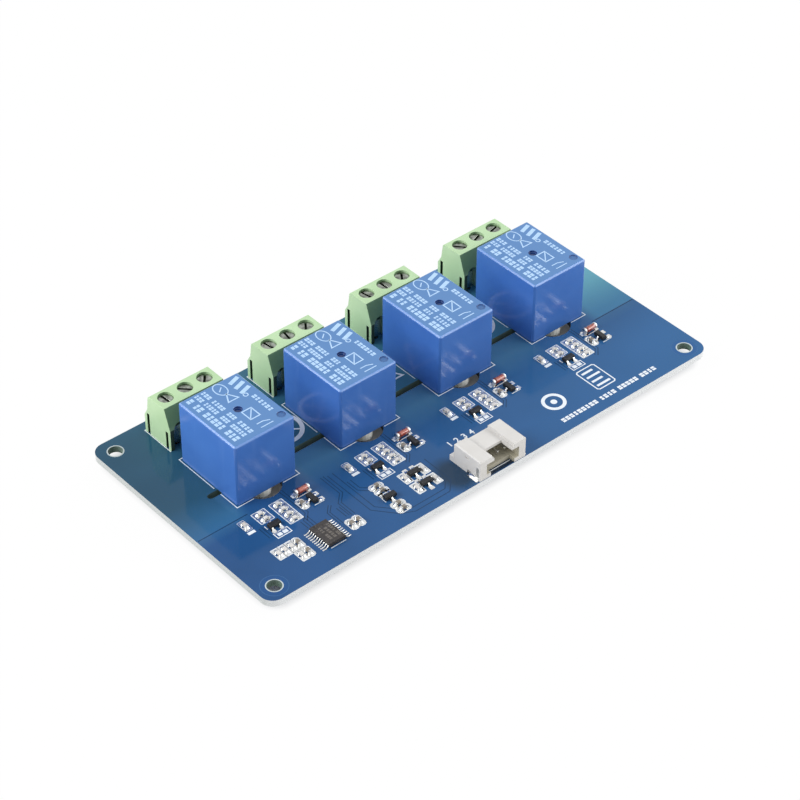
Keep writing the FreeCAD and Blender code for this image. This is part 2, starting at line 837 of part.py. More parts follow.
def socket_housing():
    """The white cable socket: a box open to the front, with a latch window on top."""
    half = socket_width / 2
    body = span(-half, half, 0, socket_depth, 0, socket_height)
    body = body.makeChamfer(socket_bevel, edges_at_height(body, socket_height))
    for side in (-1, 1):
        foot = block(side * (half - socket_foot_width / 2), socket_depth + socket_foot_length / 2, 0,
                     socket_foot_width, socket_foot_length, socket_foot_height)
        body = body.fuse(foot)
    recess = block(0, socket_depth / 2, recess_top, socket_recess_width, socket_depth,
                   socket_recess_depth)
    mouth = span(-mouth_width / 2, mouth_width / 2, 0, socket_depth - socket_back_wall,
                 socket_floor, mouth_top)
    notch = block(0, mouth_notch_depth / 2, 0, mouth_notch_width, mouth_notch_depth, socket_floor)
    window = block(0, latch_window_depth / 2, mouth_top, latch_window_width, latch_window_depth,
                   socket_height - mouth_top)
    cuts = [recess, mouth, notch, window]
    hole = socket_pin_size + 2 * socket_pin_clearance
    for x in socket_pin_centres:
        cuts.append(block(x, socket_depth - socket_back_wall / 2, socket_pin_height - hole / 2,
                          hole, socket_back_wall, hole))
    for side in (-1, 1):
        cuts.append(tab_shape(side, socket_pin_clearance))
        notch_end = tab_from_mouth + tab_length
        cuts.append(block(side * (half - tab_thickness / 2), notch_end + tab_notch / 2, 0,
                          tab_thickness, tab_notch, tab_height))
        cuts.append(block(side * (half - side_pocket_size / 2), side_pocket_from_mouth,
                          mouth_top, side_pocket_size, side_pocket_length, side_pocket_size))
    return body.cut(cuts)


def tab_shape(side, grow):
    """The outline of one solder tab, let into the side of the socket; grow widens its seat."""
    x = side * (socket_width / 2 - tab_thickness / 2)
    foot = block(x, tab_from_mouth + tab_length / 2, 0, tab_thickness + 2 * grow,
                 tab_length + 2 * grow, tab_height + grow)
    arch = tab_prong_width / 2
    prong_y = tab_from_mouth + arch
    prong = block(x, prong_y, 0, tab_thickness + 2 * grow, tab_prong_width + 2 * grow,
                  tab_prong_height - arch)
    crown = round_bar(x - tab_thickness / 2 - grow, prong_y, tab_prong_height - arch,
                      arch + grow, tab_thickness + 2 * grow, "x")
    return foot.fuse([prong, crown])


def socket_pin(x):
    """A bent socket pin: its tip stands in the mouth and its foot lies behind the housing."""
    half = socket_pin_size / 2
    bend = socket_depth + socket_pin_drop
    low = socket_pin_height - half
    profile = [(socket_pin_tip, low), (bend, low), (bend, 0), (bend + socket_pin_foot, 0),
               (bend + socket_pin_foot, socket_pin_foot_thickness),
               (bend + socket_pin_size, socket_pin_foot_thickness),
               (bend + socket_pin_size, low + socket_pin_size), (socket_pin_tip, low + socket_pin_size)]
    return on_side(profile, x - half, x + half)


def save(name, solids):
    """Write one named piece, or a group of like pieces, to its own file."""
    shape = solids[0] if len(solids) == 1 else Part.makeCompound(solids)
    shape.exportStep("parts/" + name + ".step")


def save_relays():
    """Every relay, piece by piece: covers and armatures apart, the sealed inside by kind."""
    inside = {"relay_bases": [relay_base()], "relay_yokes": [relay_yoke()],
              "relay_cores": [relay_core()], "relay_bobbins": [relay_bobbin()],
              "relay_windings": [relay_winding()], "relay_coil_pins": relay_coil_pins(),
              "relay_return_leaves": [relay_return_leaf()],
              "relay_fixed_contacts": relay_fixed_contacts()}
    for name, solids in inside.items():
        save(name, [moved(solid, x, relay_front, board_thickness)
                    for x in channel_centres for solid in solids])
    cover, armature = relay_cover(), relay_armature()
    for number, x in enumerate(channel_centres, start=1):
        save("relay_cover_%d" % number, [moved(cover, x, relay_front, board_thickness)])
        save("relay_armature_%d" % number, [moved(armature, x, relay_front, board_thickness)])


def save_terminals():
    """Every screw terminal, with its screws and rising clamps as pieces of their own."""
    housing, cage = terminal_housing(), clamp_cage()
    contacts = []
    for number, x in enumerate(channel_centres, start=1):
        save("terminal_housing_%d" % number, [moved(housing, x, terminal_front, board_thickness)])
        for pole, offset in enumerate(pole_centres, start=1):
            place = (x + offset, terminal_front + screw_from_front, board_thickness)
            order = (number - 1) * pole_count + pole - 1
            screw = clamp_screw(driver_slot_angles[order % len(driver_slot_angles)])
            save("clamp_screw_%d_%d" % (number, pole), [moved(screw, *place)])
            save("clamp_cage_%d_%d" % (number, pole), [moved(cage, *place)])
            contacts.append(moved(terminal_contact(offset), x, terminal_front, board_thickness))
    save("terminal_contacts", contacts)


def save_socket():
    """The cable socket with its pins and solder tabs."""
    y = front_edge + socket_setback
    save("socket_housing", [moved(socket_housing(), 0, y, board_thickness)])
    save("socket_pins", [moved(socket_pin(x), 0, y, board_thickness) for x in socket_pin_centres])
    save("socket_tabs", [moved(tab_shape(side, 0.0), 0, y, board_thickness) for side in (-1, 1)])


os.makedirs("parts", exist_ok=True)
save("printed_board", [printed_board()])
save_relays()
save_terminals()
save_socket()
controller_body, controller_leads = controller()
save("controller_chip", [controller_body])
save("controller_leads", controller_leads)
for kind, pieces in small_parts().items():
    save(kind, pieces)
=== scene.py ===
import math
import random

import bmesh
import bpy
from mathutils import Matrix, Vector


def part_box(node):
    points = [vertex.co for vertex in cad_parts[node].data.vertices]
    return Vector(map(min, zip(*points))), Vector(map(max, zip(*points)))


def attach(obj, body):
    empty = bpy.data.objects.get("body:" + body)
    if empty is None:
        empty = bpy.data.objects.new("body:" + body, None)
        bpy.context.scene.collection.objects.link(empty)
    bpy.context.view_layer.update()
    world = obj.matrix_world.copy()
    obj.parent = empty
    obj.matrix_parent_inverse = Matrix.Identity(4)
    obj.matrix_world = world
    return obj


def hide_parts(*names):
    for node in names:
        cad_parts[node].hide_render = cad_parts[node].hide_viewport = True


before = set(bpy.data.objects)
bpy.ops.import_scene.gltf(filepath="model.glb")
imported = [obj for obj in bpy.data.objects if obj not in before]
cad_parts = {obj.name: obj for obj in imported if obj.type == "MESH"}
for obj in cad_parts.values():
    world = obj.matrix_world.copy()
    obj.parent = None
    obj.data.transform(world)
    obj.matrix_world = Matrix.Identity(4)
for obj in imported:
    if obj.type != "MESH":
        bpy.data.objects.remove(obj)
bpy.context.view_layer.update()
scene = bpy.context.scene
random.seed(7)

# Camera: stands at the photo's viewing angle, fitted to the board's own corners, with its small
# roll. Lengths in this file are in millimetres, and MM turns them into metres.
MM = 0.001
azimuth, elevation, roll = math.radians(-40.975), math.radians(39.789), math.radians(0.229)
aim, distance, focal_pixels, frame_pixels, sensor = Vector((-0.288, 1.96, 0)), 539.702, 2513.335, 800, 36
back = Vector((math.sin(azimuth) * math.cos(elevation), -math.cos(azimuth) * math.cos(elevation),
               math.sin(elevation)))
level_right = Vector((math.cos(azimuth), math.sin(azimuth), 0))
level_up = back.cross(level_right)
camera_data = bpy.data.cameras.new("camera")
camera_data.sensor_width = sensor
camera_data.lens = focal_pixels * sensor / frame_pixels
camera_data.clip_start = 0.01
camera = bpy.data.objects.new("camera", camera_data)
camera.matrix_world = Matrix((level_right * math.cos(roll) + level_up * math.sin(roll),
                              level_up * math.cos(roll) - level_right * math.sin(roll),
                              back)).transposed().to_4x4()
camera.matrix_world.translation = (aim + back * distance) * MM
scene.collection.objects.link(camera)
scene.camera = camera


# Studio: a wide pale floor under the pins, a soft sky all round and three square lamps. Floor and
# sky are white to the eye and in mirror images, and the floor keeps the soft shadow. Seen from
# below the floor is clear, so that the underside can be looked at.
SKY_LIGHT = 0.56
FLOOR_Z, FLOOR_HALF = -1.95, 3000
SHADE_HALF, SHADE_REACH = (56.5, 25.5), 5


def rgb(hex_colour):
    """An sRGB hex colour as linear values."""
    parts = [int(hex_colour[i:i + 2], 16) / 255 for i in (1, 3, 5)]
    return [c / 12.92 if c <= 0.04045 else ((c + 0.055) / 1.055) ** 2.4 for c in parts] + [1.0]


def add(tree, kind, inputs=None, **settings):
    """Adds a node with its settings, and its inputs given as values or as links."""
    made = tree.nodes.new("ShaderNode" + kind)
    for key, value in settings.items():
        setattr(made, key, value)
    for key, value in (inputs or {}).items():
        if isinstance(value, bpy.types.NodeSocket):
            tree.links.new(value, made.inputs[key])
        else:
            made.inputs[key].default_value = value
    return made


def surface(name, colour, shade, rough, drift=6.0, grain=0.25, amount=0.5, relief=0.004,
            rough_spread=0.1, **sockets):
    """A material that drifts between two colours over some mm, with a grain in relief and gloss.
    The real grain of moulded and plated parts is finer, and it is drawn this coarse to show."""
    mat = bpy.data.materials.new(name)
    mat.use_nodes = True
    tree = mat.node_tree
    shader = tree.nodes["Principled BSDF"]
    for key, value in sockets.items():
        shader.inputs[key.replace("_", " ")].default_value = value
    place = add(tree, "TexCoord").outputs["Object"]
    wide, fine = [add(tree, "TexNoise", {"Vector": place, "Scale": 1 / (size * MM),
                                         "Detail": detail}).outputs["Fac"]
                  for size, detail in ((drift, 3.0), (grain, 4.0))]
    share = add(tree, "MapRange", {"Value": wide, "From Min": 0.35, "From Max": 0.65,
                                   "To Max": amount}).outputs["Result"]
    tint = add(tree, "Mix", {0: share, 6: rgb(colour), 7: rgb(shade)}, data_type="RGBA")
    gloss = add(tree, "MapRange", {"Value": fine, "From Min": 0.3, "From Max": 0.7,
                                   "To Min": max(0.02, rough - rough_spread / 2),
                                   "To Max": rough + rough_spread / 2}).outputs["Result"]
    bump = add(tree, "Bump", {"Height": fine, "Distance": relief * MM, "Strength": 1.0})
    tree.links.new(tint.outputs[2], shader.inputs["Base Color"])
    tree.links.new(gloss, shader.inputs["Roughness"])
    tree.links.new(bump.outputs["Normal"], shader.inputs["Normal"])
    return mat, tree, shader, tint.outputs[2], place


def cover_colour(tree, shader, under, factor, colour):
    """Lays one more colour over a surface where a factor is 1."""
    over = add(tree, "Mix", {0: factor, 6: under, 7: colour}, data_type="RGBA").outputs[2]
    tree.links.new(over, shader.inputs["Base Color"])
    return over


scene.view_settings.view_transform = "Standard"
world = bpy.data.worlds.new("studio")
world.use_nodes = True
scene.world = world
tree = world.node_tree
rays = add(tree, "LightPath").outputs
seen = add(tree, "Math", {0: rays["Is Camera Ray"], 1: rays["Is Glossy Ray"]}, operation="MAXIMUM")
seen = add(tree, "Math", {0: seen.outputs[0], 1: rays["Is Transmission Ray"]}, operation="MAXIMUM")
strength = add(tree, "MapRange", {"Value": seen.outputs[0], "To Min": SKY_LIGHT, "To Max": 1.0})
tree.nodes["Background"].inputs["Color"].default_value = (1, 1, 1, 1)
tree.links.new(strength.outputs["Result"], tree.nodes["Background"].inputs["Strength"])

for name, place, size, power in (("key_lamp", (-0.60, 0.29, 0.45), 0.45, 4.6),
                                 ("front_lamp", (0.33, -0.29, 0.23), 0.25, 0.85),
                                 ("right_lamp", (0.75, -0.05, 0.55), 0.35, 1.9)):
    data = bpy.data.lights.new(name, "AREA")
    data.size = size
    data.energy = power
    lamp = bpy.data.objects.new(name, data)
    lamp.location = place
    lamp.rotation_euler = (-Vector(place)).to_track_quat("-Z", "Y").to_euler()
    scene.collection.objects.link(lamp)

floor_mat, tree, shader, _, place = surface("pale_floor_paint", "#f4f4f3", "#efefee", 0.7,
                                            drift=90, grain=0.6, relief=0.002)
rays = add(tree, "LightPath").outputs
seen = add(tree, "Math", {0: rays["Is Camera Ray"], 1: rays["Is Glossy Ray"]}, operation="MAXIMUM")
outside = add(tree, "VectorMath", {0: place}, operation="ABSOLUTE").outputs[0]
outside = add(tree, "VectorMath", {0: outside, 1: (SHADE_HALF[0] * MM, SHADE_HALF[1] * MM, 1)},
              operation="SUBTRACT").outputs[0]
outside = add(tree, "VectorMath", {0: outside, 1: (0, 0, 0)}, operation="MAXIMUM").outputs[0]
outside = add(tree, "VectorMath", {0: outside}, operation="LENGTH").outputs["Value"]
outside = add(tree, "MapRange", {"Value": outside, "From Max": SHADE_REACH * MM, "To Min": 0.03,
                                 "To Max": 0.98}).outputs["Result"]
share = add(tree, "Math", {0: seen.outputs[0], 1: outside}, operation="MULTIPLY").outputs[0]
glow = add(tree, "Emission", {"Color": (1, 1, 1, 1), "Strength": 1.0}).outputs[0]
mixed = add(tree, "MixShader", {0: share, 1: shader.outputs[0], 2: glow}).outputs[0]
from_below = add(tree, "NewGeometry").outputs["Backfacing"]
clear = add(tree, "BsdfTransparent").outputs[0]
mixed = add(tree, "MixShader", {0: from_below, 1: mixed, 2: clear}).outputs[0]
tree.links.new(mixed, tree.nodes["Material Output"].inputs["Surface"])
floor_mesh = bpy.data.meshes.new("floor")
floor_mesh.from_pydata([(x * FLOOR_HALF * MM, y * FLOOR_HALF * MM, FLOOR_Z * MM)
                        for x, y in ((-1, -1), (1, -1), (1, 1), (-1, 1))], [], [(0, 1, 2, 3)])
floor_mesh.materials.append(floor_mat)
floor = bpy.data.objects.new("floor", floor_mesh)
scene.collection.objects.link(floor)

# Printed board: woven glass and epoxy under a glossy blue solder mask, which looks darker and
# more teal where no copper lies behind it. Milled to its outline, which leaves a pale dull edge,
# and the walls of its holes and slots are painted darker, as shade. The imported node keeps its shape.
BOARD_TOP = 1.6
BOARD_HALF = (61.495, 30.3)
EDGE_ROUND = 3.0
HOLE_HALF = (57.495, 26.5)
CHANNEL_PITCH = 27.33
POUR_END_Y, OUTER_POUR_END, POUR_BLUR = 2.8, (50.5, -6.6), 0.4
PIN_Y, TONGUE_REACH, SLOT_REACH, LEG_X = -1.5, 2.6, 5.4, 1.2
RELAY_LIGHT_X, RELAY_LIGHT_Y, ROUND_HOLE = (6.5, 9.5), (-9.5, -3.0), (2.3, 3.2)
SOCKET_SHADE, SOCKET_SHADE_HALF = (-8.6, -25.0), (4.2, 5.6)
FAR_CORNER_X, FAR_CORNER_Y, POUR_TINT_END = (40.0, 52.0), (-4.5, 6.0), 4.0
WEAVE, OUTLINE_DEPTH = 0.35, 0.3


def dress(node, mat):
    """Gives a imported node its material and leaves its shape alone."""
    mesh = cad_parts[node].data
    mesh.materials.clear()
    mesh.materials.append(mat)


mask_mat, tree, shader, tint, place = surface(
    "gloss_solder_mask", "#255083", "#1f4877", 0.1, drift=16, grain=0.7, amount=0.8, relief=0.0015,
    rough_spread=0.05, Specular_IOR_Level=0.2)
spot = add(tree, "SeparateXYZ", {0: place}).outputs
from_middle = add(tree, "Math", {0: spot["X"]}, operation="ABSOLUTE").outputs[0]
across = add(tree, "Math", {0: spot["X"], 1: 2 * CHANNEL_PITCH * MM}, operation="ADD").outputs[0]
across = add(tree, "Math", {0: across, 1: CHANNEL_PITCH * MM}, operation="MODULO").outputs[0]
across = add(tree, "Math", {0: across, 1: CHANNEL_PITCH / 2 * MM}, operation="SUBTRACT").outputs[0]
aside = add(tree, "Math", {0: across}, operation="ABSOLUTE").outputs[0]
along, aside, behind, past_pour, past_row, far_out, far_right, far_back = [
    add(tree, "MapRange", {"Value": value, "From Min": start * MM, "From Max": end * MM}).outputs["Result"]
    for value, start, end in (
        (spot["X"], -60, 60), (aside, *RELAY_LIGHT_X), (spot["Y"], *RELAY_LIGHT_Y),
        (spot["Y"], POUR_END_Y - POUR_BLUR, POUR_END_Y + POUR_BLUR),
        (spot["Y"], OUTER_POUR_END[1] - POUR_BLUR, OUTER_POUR_END[1] + POUR_BLUR),
        (from_middle, OUTER_POUR_END[0] - 4 * POUR_BLUR, OUTER_POUR_END[0] + 2 * POUR_BLUR),
        (spot["X"], *FAR_CORNER_X), (spot["Y"], *FAR_CORNER_Y))]

# Over copper the mask is a little lighter towards the right end. Between the relays it is painted
# lighter and greyer, as reflected light from the relays' sides.
lighter = add(tree, "Math", {0: along, 1: 0.55}, operation="MULTIPLY").outputs[0]
tint = cover_colour(tree, shader, tint, lighter, rgb("#386d9f"))
between = add(tree, "Math", {0: behind, 1: 0.8}, operation="MULTIPLY").outputs[0]
between = add(tree, "Math", {0: aside, 1: between}, operation="MULTIPLY").outputs[0]
tint = cover_colour(tree, shader, tint, between, rgb("#46779a"))

# It is deeper blue round the two front holes, and a painted shadow darkens it to the left of the
# socket.
hole_x = add(tree, "Math", {0: from_middle, 1: HOLE_HALF[0] * MM}, operation="SUBTRACT").outputs[0]
hole_y = add(tree, "Math", {0: spot["Y"], 1: HOLE_HALF[1] * MM}, operation="ADD").outputs[0]
round_hole = add(tree, "CombineXYZ", {0: hole_x, 1: hole_y}).outputs[0]
round_hole = add(tree, "VectorMath", {0: round_hole}, operation="LENGTH").outputs["Value"]
round_hole = add(tree, "MapRange", {"Value": round_hole, "From Min": ROUND_HOLE[0] * MM,
                                    "From Max": ROUND_HOLE[1] * MM, "To Min": 0.45,
                                    "To Max": 0}).outputs["Result"]
tint = cover_colour(tree, shader, tint, round_hole, rgb("#20508c"))
painted_socket_shadow = add(tree, "VectorMath", {0: place, 1: [v * MM for v in (*SOCKET_SHADE, BOARD_TOP)]},
             operation="SUBTRACT").outputs[0]
painted_socket_shadow = add(tree, "VectorMath", {0: painted_socket_shadow, 1: [1 / v for v in (*SOCKET_SHADE_HALF, 1)]},
             operation="MULTIPLY").outputs[0]
painted_socket_shadow = add(tree, "VectorMath", {0: painted_socket_shadow}, operation="LENGTH").outputs["Value"]
painted_socket_shadow = add(tree, "MapRange", {"Value": painted_socket_shadow, "From Min": 0.6 * MM, "From Max": 1.15 * MM,
                                "To Min": 0.85, "To Max": 0}).outputs["Result"]
tint = cover_colour(tree, shader, tint, painted_socket_shadow, rgb("#20384c"))

# No copper lies under the terminals and behind the two outer ends. There the mask is teal, paler
# in the far right corner and bluer near the copper's edge.
bare = add(tree, "Math", {0: past_row, 1: far_out}, operation="MULTIPLY").outputs[0]
bare = add(tree, "Math", {0: past_pour, 1: bare}, operation="MAXIMUM").outputs[0]
bare = add(tree, "Math", {0: bare, 1: 0.85}, operation="MULTIPLY").outputs[0]
far_corner = add(tree, "Math", {0: far_back, 1: far_right}, operation="MULTIPLY").outputs[0]
near_pour = add(tree, "MapRange", {"Value": spot["Y"], "From Min": OUTER_POUR_END[1] * MM,
                                   "From Max": POUR_TINT_END * MM, "To Min": 0.5,
                                   "To Max": 0}).outputs["Result"]
teal = rgb("#234a5f")
for share, colour in ((along, "#4a8ca6"), (far_corner, "#6fb5c4"), (near_pour, "#3a74ad")):
    teal = add(tree, "Mix", {0: share, 6: teal, 7: rgb(colour)}, data_type="RGBA").outputs[2]
tint = cover_colour(tree, shader, tint, bare, teal)

# Walls: pale laminate on the milled outline, palest on its long sides. In the holes and slots the
# walls are painted dark green, as shade. The tongue by each common pin is bright, and the slot's
# right leg gets a painted black shade.
facing = add(tree, "SeparateXYZ", {0: add(tree, "TexCoord").outputs["Normal"]}).outputs
wall = add(tree, "Math", {0: facing["Z"]}, operation="ABSOLUTE").outputs[0]
wall = add(tree, "Math", {0: wall, 1: 0.5}, operation="LESS_THAN").outputs[0]
fibre = add(tree, "TexNoise", {"Vector": place, "Scale": 1 / (WEAVE * MM), "Detail": 5.0}).outputs["Fac"]
shade_painted_wall, pale_wall = [
    add(tree, "Mix", {0: fibre, 6: rgb(colour), 7: rgb(shade)}, data_type="RGBA").outputs[2]
    for colour, shade in (("#6e857a", "#54675e"), ("#bfc3c2", "#abafae"))]
long_side = add(tree, "Math", {0: facing["Y"]}, operation="ABSOLUTE").outputs[0]
long_side = add(tree, "MapRange", {"Value": long_side, "From Min": 0.3, "From Max": 0.9}).outputs["Result"]
pale_wall = add(tree, "Mix", {0: long_side, 6: pale_wall, 7: rgb("#dfe1e2")}, data_type="RGBA").outputs[2]
before_pin = add(tree, "Math", {0: spot["Y"], 1: PIN_Y * MM}, operation="SUBTRACT").outputs[0]
before_pin = add(tree, "Math", {0: before_pin, 1: 0}, operation="MINIMUM").outputs[0]
near_pin = add(tree, "CombineXYZ", {0: across, 1: before_pin}).outputs[0]
near_pin = add(tree, "VectorMath", {0: near_pin}, operation="LENGTH").outputs["Value"]
tongue, near_slot = [add(tree, "Math", {0: near_pin, 1: reach * MM}, operation="LESS_THAN").outputs[0]
                     for reach in (TONGUE_REACH, SLOT_REACH)]
# Painted shade: the slot's right leg is near black.
painted_leg_shade = add(tree, "Math", {0: across, 1: LEG_X * MM}, operation="GREATER_THAN").outputs[0]
painted_leg_shade = add(tree, "Math", {0: painted_leg_shade, 1: near_slot}, operation="MULTIPLY").outputs[0]
for share, colour in ((painted_leg_shade, "#161d1b"), (tongue, "#fbfcf6")):
    shade_painted_wall = add(tree, "Mix", {0: share, 6: shade_painted_wall, 7: rgb(colour)}, data_type="RGBA").outputs[2]
corner = add(tree, "VectorMath", {0: place}, operation="ABSOLUTE").outputs[0]
corner = add(tree, "VectorMath", {0: corner, 1: [(half - EDGE_ROUND) * MM for half in BOARD_HALF] + [1]},
             operation="SUBTRACT").outputs[0]
corner = add(tree, "VectorMath", {0: corner, 1: (0, 0, 0)}, operation="MAXIMUM").outputs[0]
outline = add(tree, "VectorMath", {0: corner}, operation="LENGTH").outputs["Value"]
outline = add(tree, "Math", {0: outline, 1: (EDGE_ROUND - OUTLINE_DEPTH) * MM},
              operation="GREATER_THAN").outputs[0]
edge = add(tree, "Mix", {0: outline, 6: shade_painted_wall, 7: pale_wall}, data_type="RGBA").outputs[2]
cover_colour(tree, shader, tint, wall, edge)
dress("printed_board", mask_mat)

# Bare rings: the mask stops a little short of each mounting hole, so a pale dull ring of laminate
# shows. Round the two front holes the mask's step over the edge of the copper shows as a faint ring,
# painted lighter as its highlight.
HOLE_PLACES = [(sx * HOLE_HALF[0], sy * HOLE_HALF[1]) for sx in (-1, 1) for sy in (-1, 1)]
RING_RADIUS, RING_WIDTH = 1.73, 0.26
STEP_RADIUS, STEP_WIDTH = 2.9, 0.12
laminate_mat = surface("bare_laminate", "#c2ccce", "#a6b4b7", 0.6, drift=1.5, grain=0.12, relief=0.01)[0]
step_highlight_mat = surface("mask_step_painted_highlight", "#3b6697", "#335d89", 0.12, drift=5, relief=0.002,
                   Specular_IOR_Level=0.2)[0]


def strip(bm, points, width, z, closed=False, index=0):
    """A flat line of one width through some points, mitred where it turns."""
    count = len(points)
    sides = []
    for i, (x, y) in enumerate(points):
        ways = []
        if i or closed:
            ways.append(Vector((x - points[i - 1][0], y - points[i - 1][1])).normalized())
        if i + 1 < count or closed:
            after = points[(i + 1) % count]
            ways.append(Vector((after[0] - x, after[1] - y)).normalized())
        way = (ways[0] + ways[-1]).normalized()
        across = Vector((-way.y, way.x))
        reach = width / 2 / max(0.3, across.dot(Vector((-ways[0].y, ways[0].x))))
        sides.append([bm.verts.new((x + side * across.x * reach, y + side * across.y * reach, z))
                      for side in (-1, 1)])
    for i in range(count if closed else count - 1):
        a, b = sides[i], sides[(i + 1) % count]
        bm.faces.new([a[0], b[0], b[1], a[1]]).material_index = index


def arc(x, y, radius, start=0.0, end=360.0, steps=36, tall=1.0):
    """Points along an arc, or along an oval if tall isn't 1."""
    closed = abs(end - start) == 360
    angles = [math.radians(start + (end - start) * k / steps) for k in range(steps + (not closed))]
    return [(x + radius * math.cos(a), y + tall * radius * math.sin(a)) for a in angles]


def piece(name, bm, materials, body="module", replaces=(), sharp=32):
    """Turns a mesh drawn in mm into a named piece that rides on a body."""
    mesh = bpy.data.meshes.new(name)
    bm.to_mesh(mesh)
    bm.free()
    mesh.transform(Matrix.Scale(MM, 4))
    for mat in materials:
        mesh.materials.append(mat)
    mesh.shade_smooth()
    mesh.set_sharp_from_angle(angle=math.radians(sharp))
    made = bpy.data.objects.new(name, mesh)
    scene.collection.objects.link(made)
    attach(made, body)
    if replaces:
        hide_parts(*replaces)
    return made


bm = bmesh.new()
for x, y in HOLE_PLACES:
    for side in (-1, 1):
        face_z = BOARD_TOP / 2 + side * BOARD_TOP / 2
        strip(bm, arc(x, y, RING_RADIUS, steps=48), RING_WIDTH, face_z + side * 0.012, closed=True)
        if y < 0:
            strip(bm, arc(x, y, STEP_RADIUS, steps=48), STEP_WIDTH, face_z + side * 0.006, closed=True,
                  index=1)
piece("hole_rings", bm, [laminate_mat, step_highlight_mat])

# Covered tracks: copper runs under the mask, etched free by a thin gap on each side that looks
# dark. In the socket's mouth painted shade makes the mask darkest. Places here and in the legend
# are counted from the board's front left corner, at the socket edge.
TRACKS = [([(33.2, 22), (33.2, 8.4), (36.9, 4.0), (39.5, 2.7), (48.5, 2.7), (50.6, 4.8), (50.6, 13)], 1.1),
          ([(34.9, 18), (34.9, 14.8), (36.6, 13.1)], 0.7), ([(28.0, 10.0), (28.0, 13.2)], 0.5),
          ([(29.2, 9.6), (29.2, 14.0), (31.4, 16.2), (31.4, 22.5)], 0.5),
          ([(19.9, 12.3), (19.9, 14.8)], 0.5), ([(21.3, 12.3), (21.3, 15.2)], 0.5),
          ([(25.6, 9.0), (25.6, 13.2), (27.2, 14.8)], 0.4)]
CHANNELS = range(4)
TRACK_Z, TRACK_GAP = 0.006, 0.2
gap_mat = surface("mask_over_bare_gap", "#1c3d60", "#193757", 0.12, drift=5, relief=0.002,
                  Specular_IOR_Level=0.2)[0]
mouth_shade_mat = surface("mask_painted_mouth_shade", "#26354a", "#1f2c3e", 0.12, drift=3, relief=0.002,
                    Specular_IOR_Level=0.2)[0]


def at(x, y):
    """A place counted from the board's front left corner."""
    return (x - BOARD_HALF[0], y - BOARD_HALF[1])


def track_edges(bm, points, width, z):
    """The two dark gaps that follow a covered track."""
    for shift in (-1, 1):
        line = []
        for i, (x, y) in enumerate(points):
            a, b = points[max(i - 1, 0)], points[min(i + 1, len(points) - 1)]
            way = Vector((b[0] - a[0], b[1] - a[1])).normalized() * shift * (width + TRACK_GAP) / 2
            line.append(at(x - way.y, y + way.x))
        strip(bm, line, TRACK_GAP, z)


def flat(bm, points, z, index=0):
    """A flat patch with its face up."""
    face = bm.faces.new([bm.verts.new((x, y, z)) for x, y in points])
    face.normal_update()
    if face.normal.z < 0:
        face.normal_flip()
    face.material_index = index


def rectangle(x0, x1, y0, y1, cut=0.0):
    """The corners of a rectangle, cut off by a little if wanted."""
    if not cut:
        return [(x0, y0), (x1, y0), (x1, y1), (x0, y1)]
    return [(x0 + cut, y0), (x1 - cut, y0), (x1, y0 + cut), (x1, y1 - cut),
            (x1 - cut, y1), (x0 + cut, y1), (x0, y1 - cut), (x0, y0 + cut)]


def corners(node):
    """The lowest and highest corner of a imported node, in mm."""
    return [[v / MM for v in corner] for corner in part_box(node)]


bm = bmesh.new()
for points, width in TRACKS:
    track_edges(bm, points, width, BOARD_TOP + TRACK_Z)
for side in (-1, 1):
    strip(bm, [(side * x, OUTER_POUR_END[1] - 0.1) for x in (48.6, 53.0, 57.0, 61.2)], 0.26,
          BOARD_TOP + TRACK_Z)
for k in CHANNELS:
    shift = k * CHANNEL_PITCH
    for points in ([(12.2, 15.0), (12.2, 18.6)], [(22.3, 24.8), (22.3, 16.2), (20.6, 14.5)]):
        track_edges(bm, [(x + shift, y) for x, y in points], 0.5, BOARD_TOP + TRACK_Z)
    for x0, y0, x1, y1, width in ((14.5, 42.8, 15.4, 50.4, 3.4), (26.5, 42.8, 25.6, 50.4, 3.4),
                                  (20.5, 28.8, 20.5, 50.4, 3.0), (14.5, 30.8, 14.5, 22.0, 0.8),
                                  (26.5, 30.8, 26.5, 24.0, 0.8)):
        track_edges(bm, [(x0 + shift, y0), (x1 + shift, y1)], width, -TRACK_Z)
# Painted shade on the board in the socket's mouth.
low, high = corners("socket_housing")
flat(bm, rectangle(low[0] + 1.0, high[0] - 1.0, -BOARD_HALF[1] + 0.25, high[1] - 0.6),
     BOARD_TOP + 0.008, index=1)
piece("covered_tracks", bm, [gap_mat, mouth_shade_mat])

# Legend: white epoxy ink, silk screened on the mask, which looks matt and a little bluish where it
# is thin. It has the outlines round the parts, two wheels and a triangle between the relays, and
# rows of plain marks.
INK_Z = BOARD_TOP + 0.02
INK_LINE = 0.21
ink_mat = surface("silk_screened_ink", "#e9eef2", "#d3dde8", 0.55, drift=1.2, grain=0.1, relief=0.006)[0]


def marks(bm, start, end, low, high, groups, z, turn=False):
    """A row of short double bars in groups, like a line of print seen from afar. It spells nothing."""
    step = (end - start) / (sum(groups) + 0.7 * (len(groups) - 1))
    bar = 0.45 * (high - low)
    cursor = start
    for count in groups:
        for _ in range(count):
            inset = random.choice((0.0, 0.0, 0.12)) * step
            for foot in (low, high - bar):
                block = rectangle(cursor + inset, cursor + step * 0.8 - inset, foot, foot + bar)
                flat(bm, [(y, x) for x, y in block] if turn else block, z)
            cursor += step
        cursor += 0.7 * step


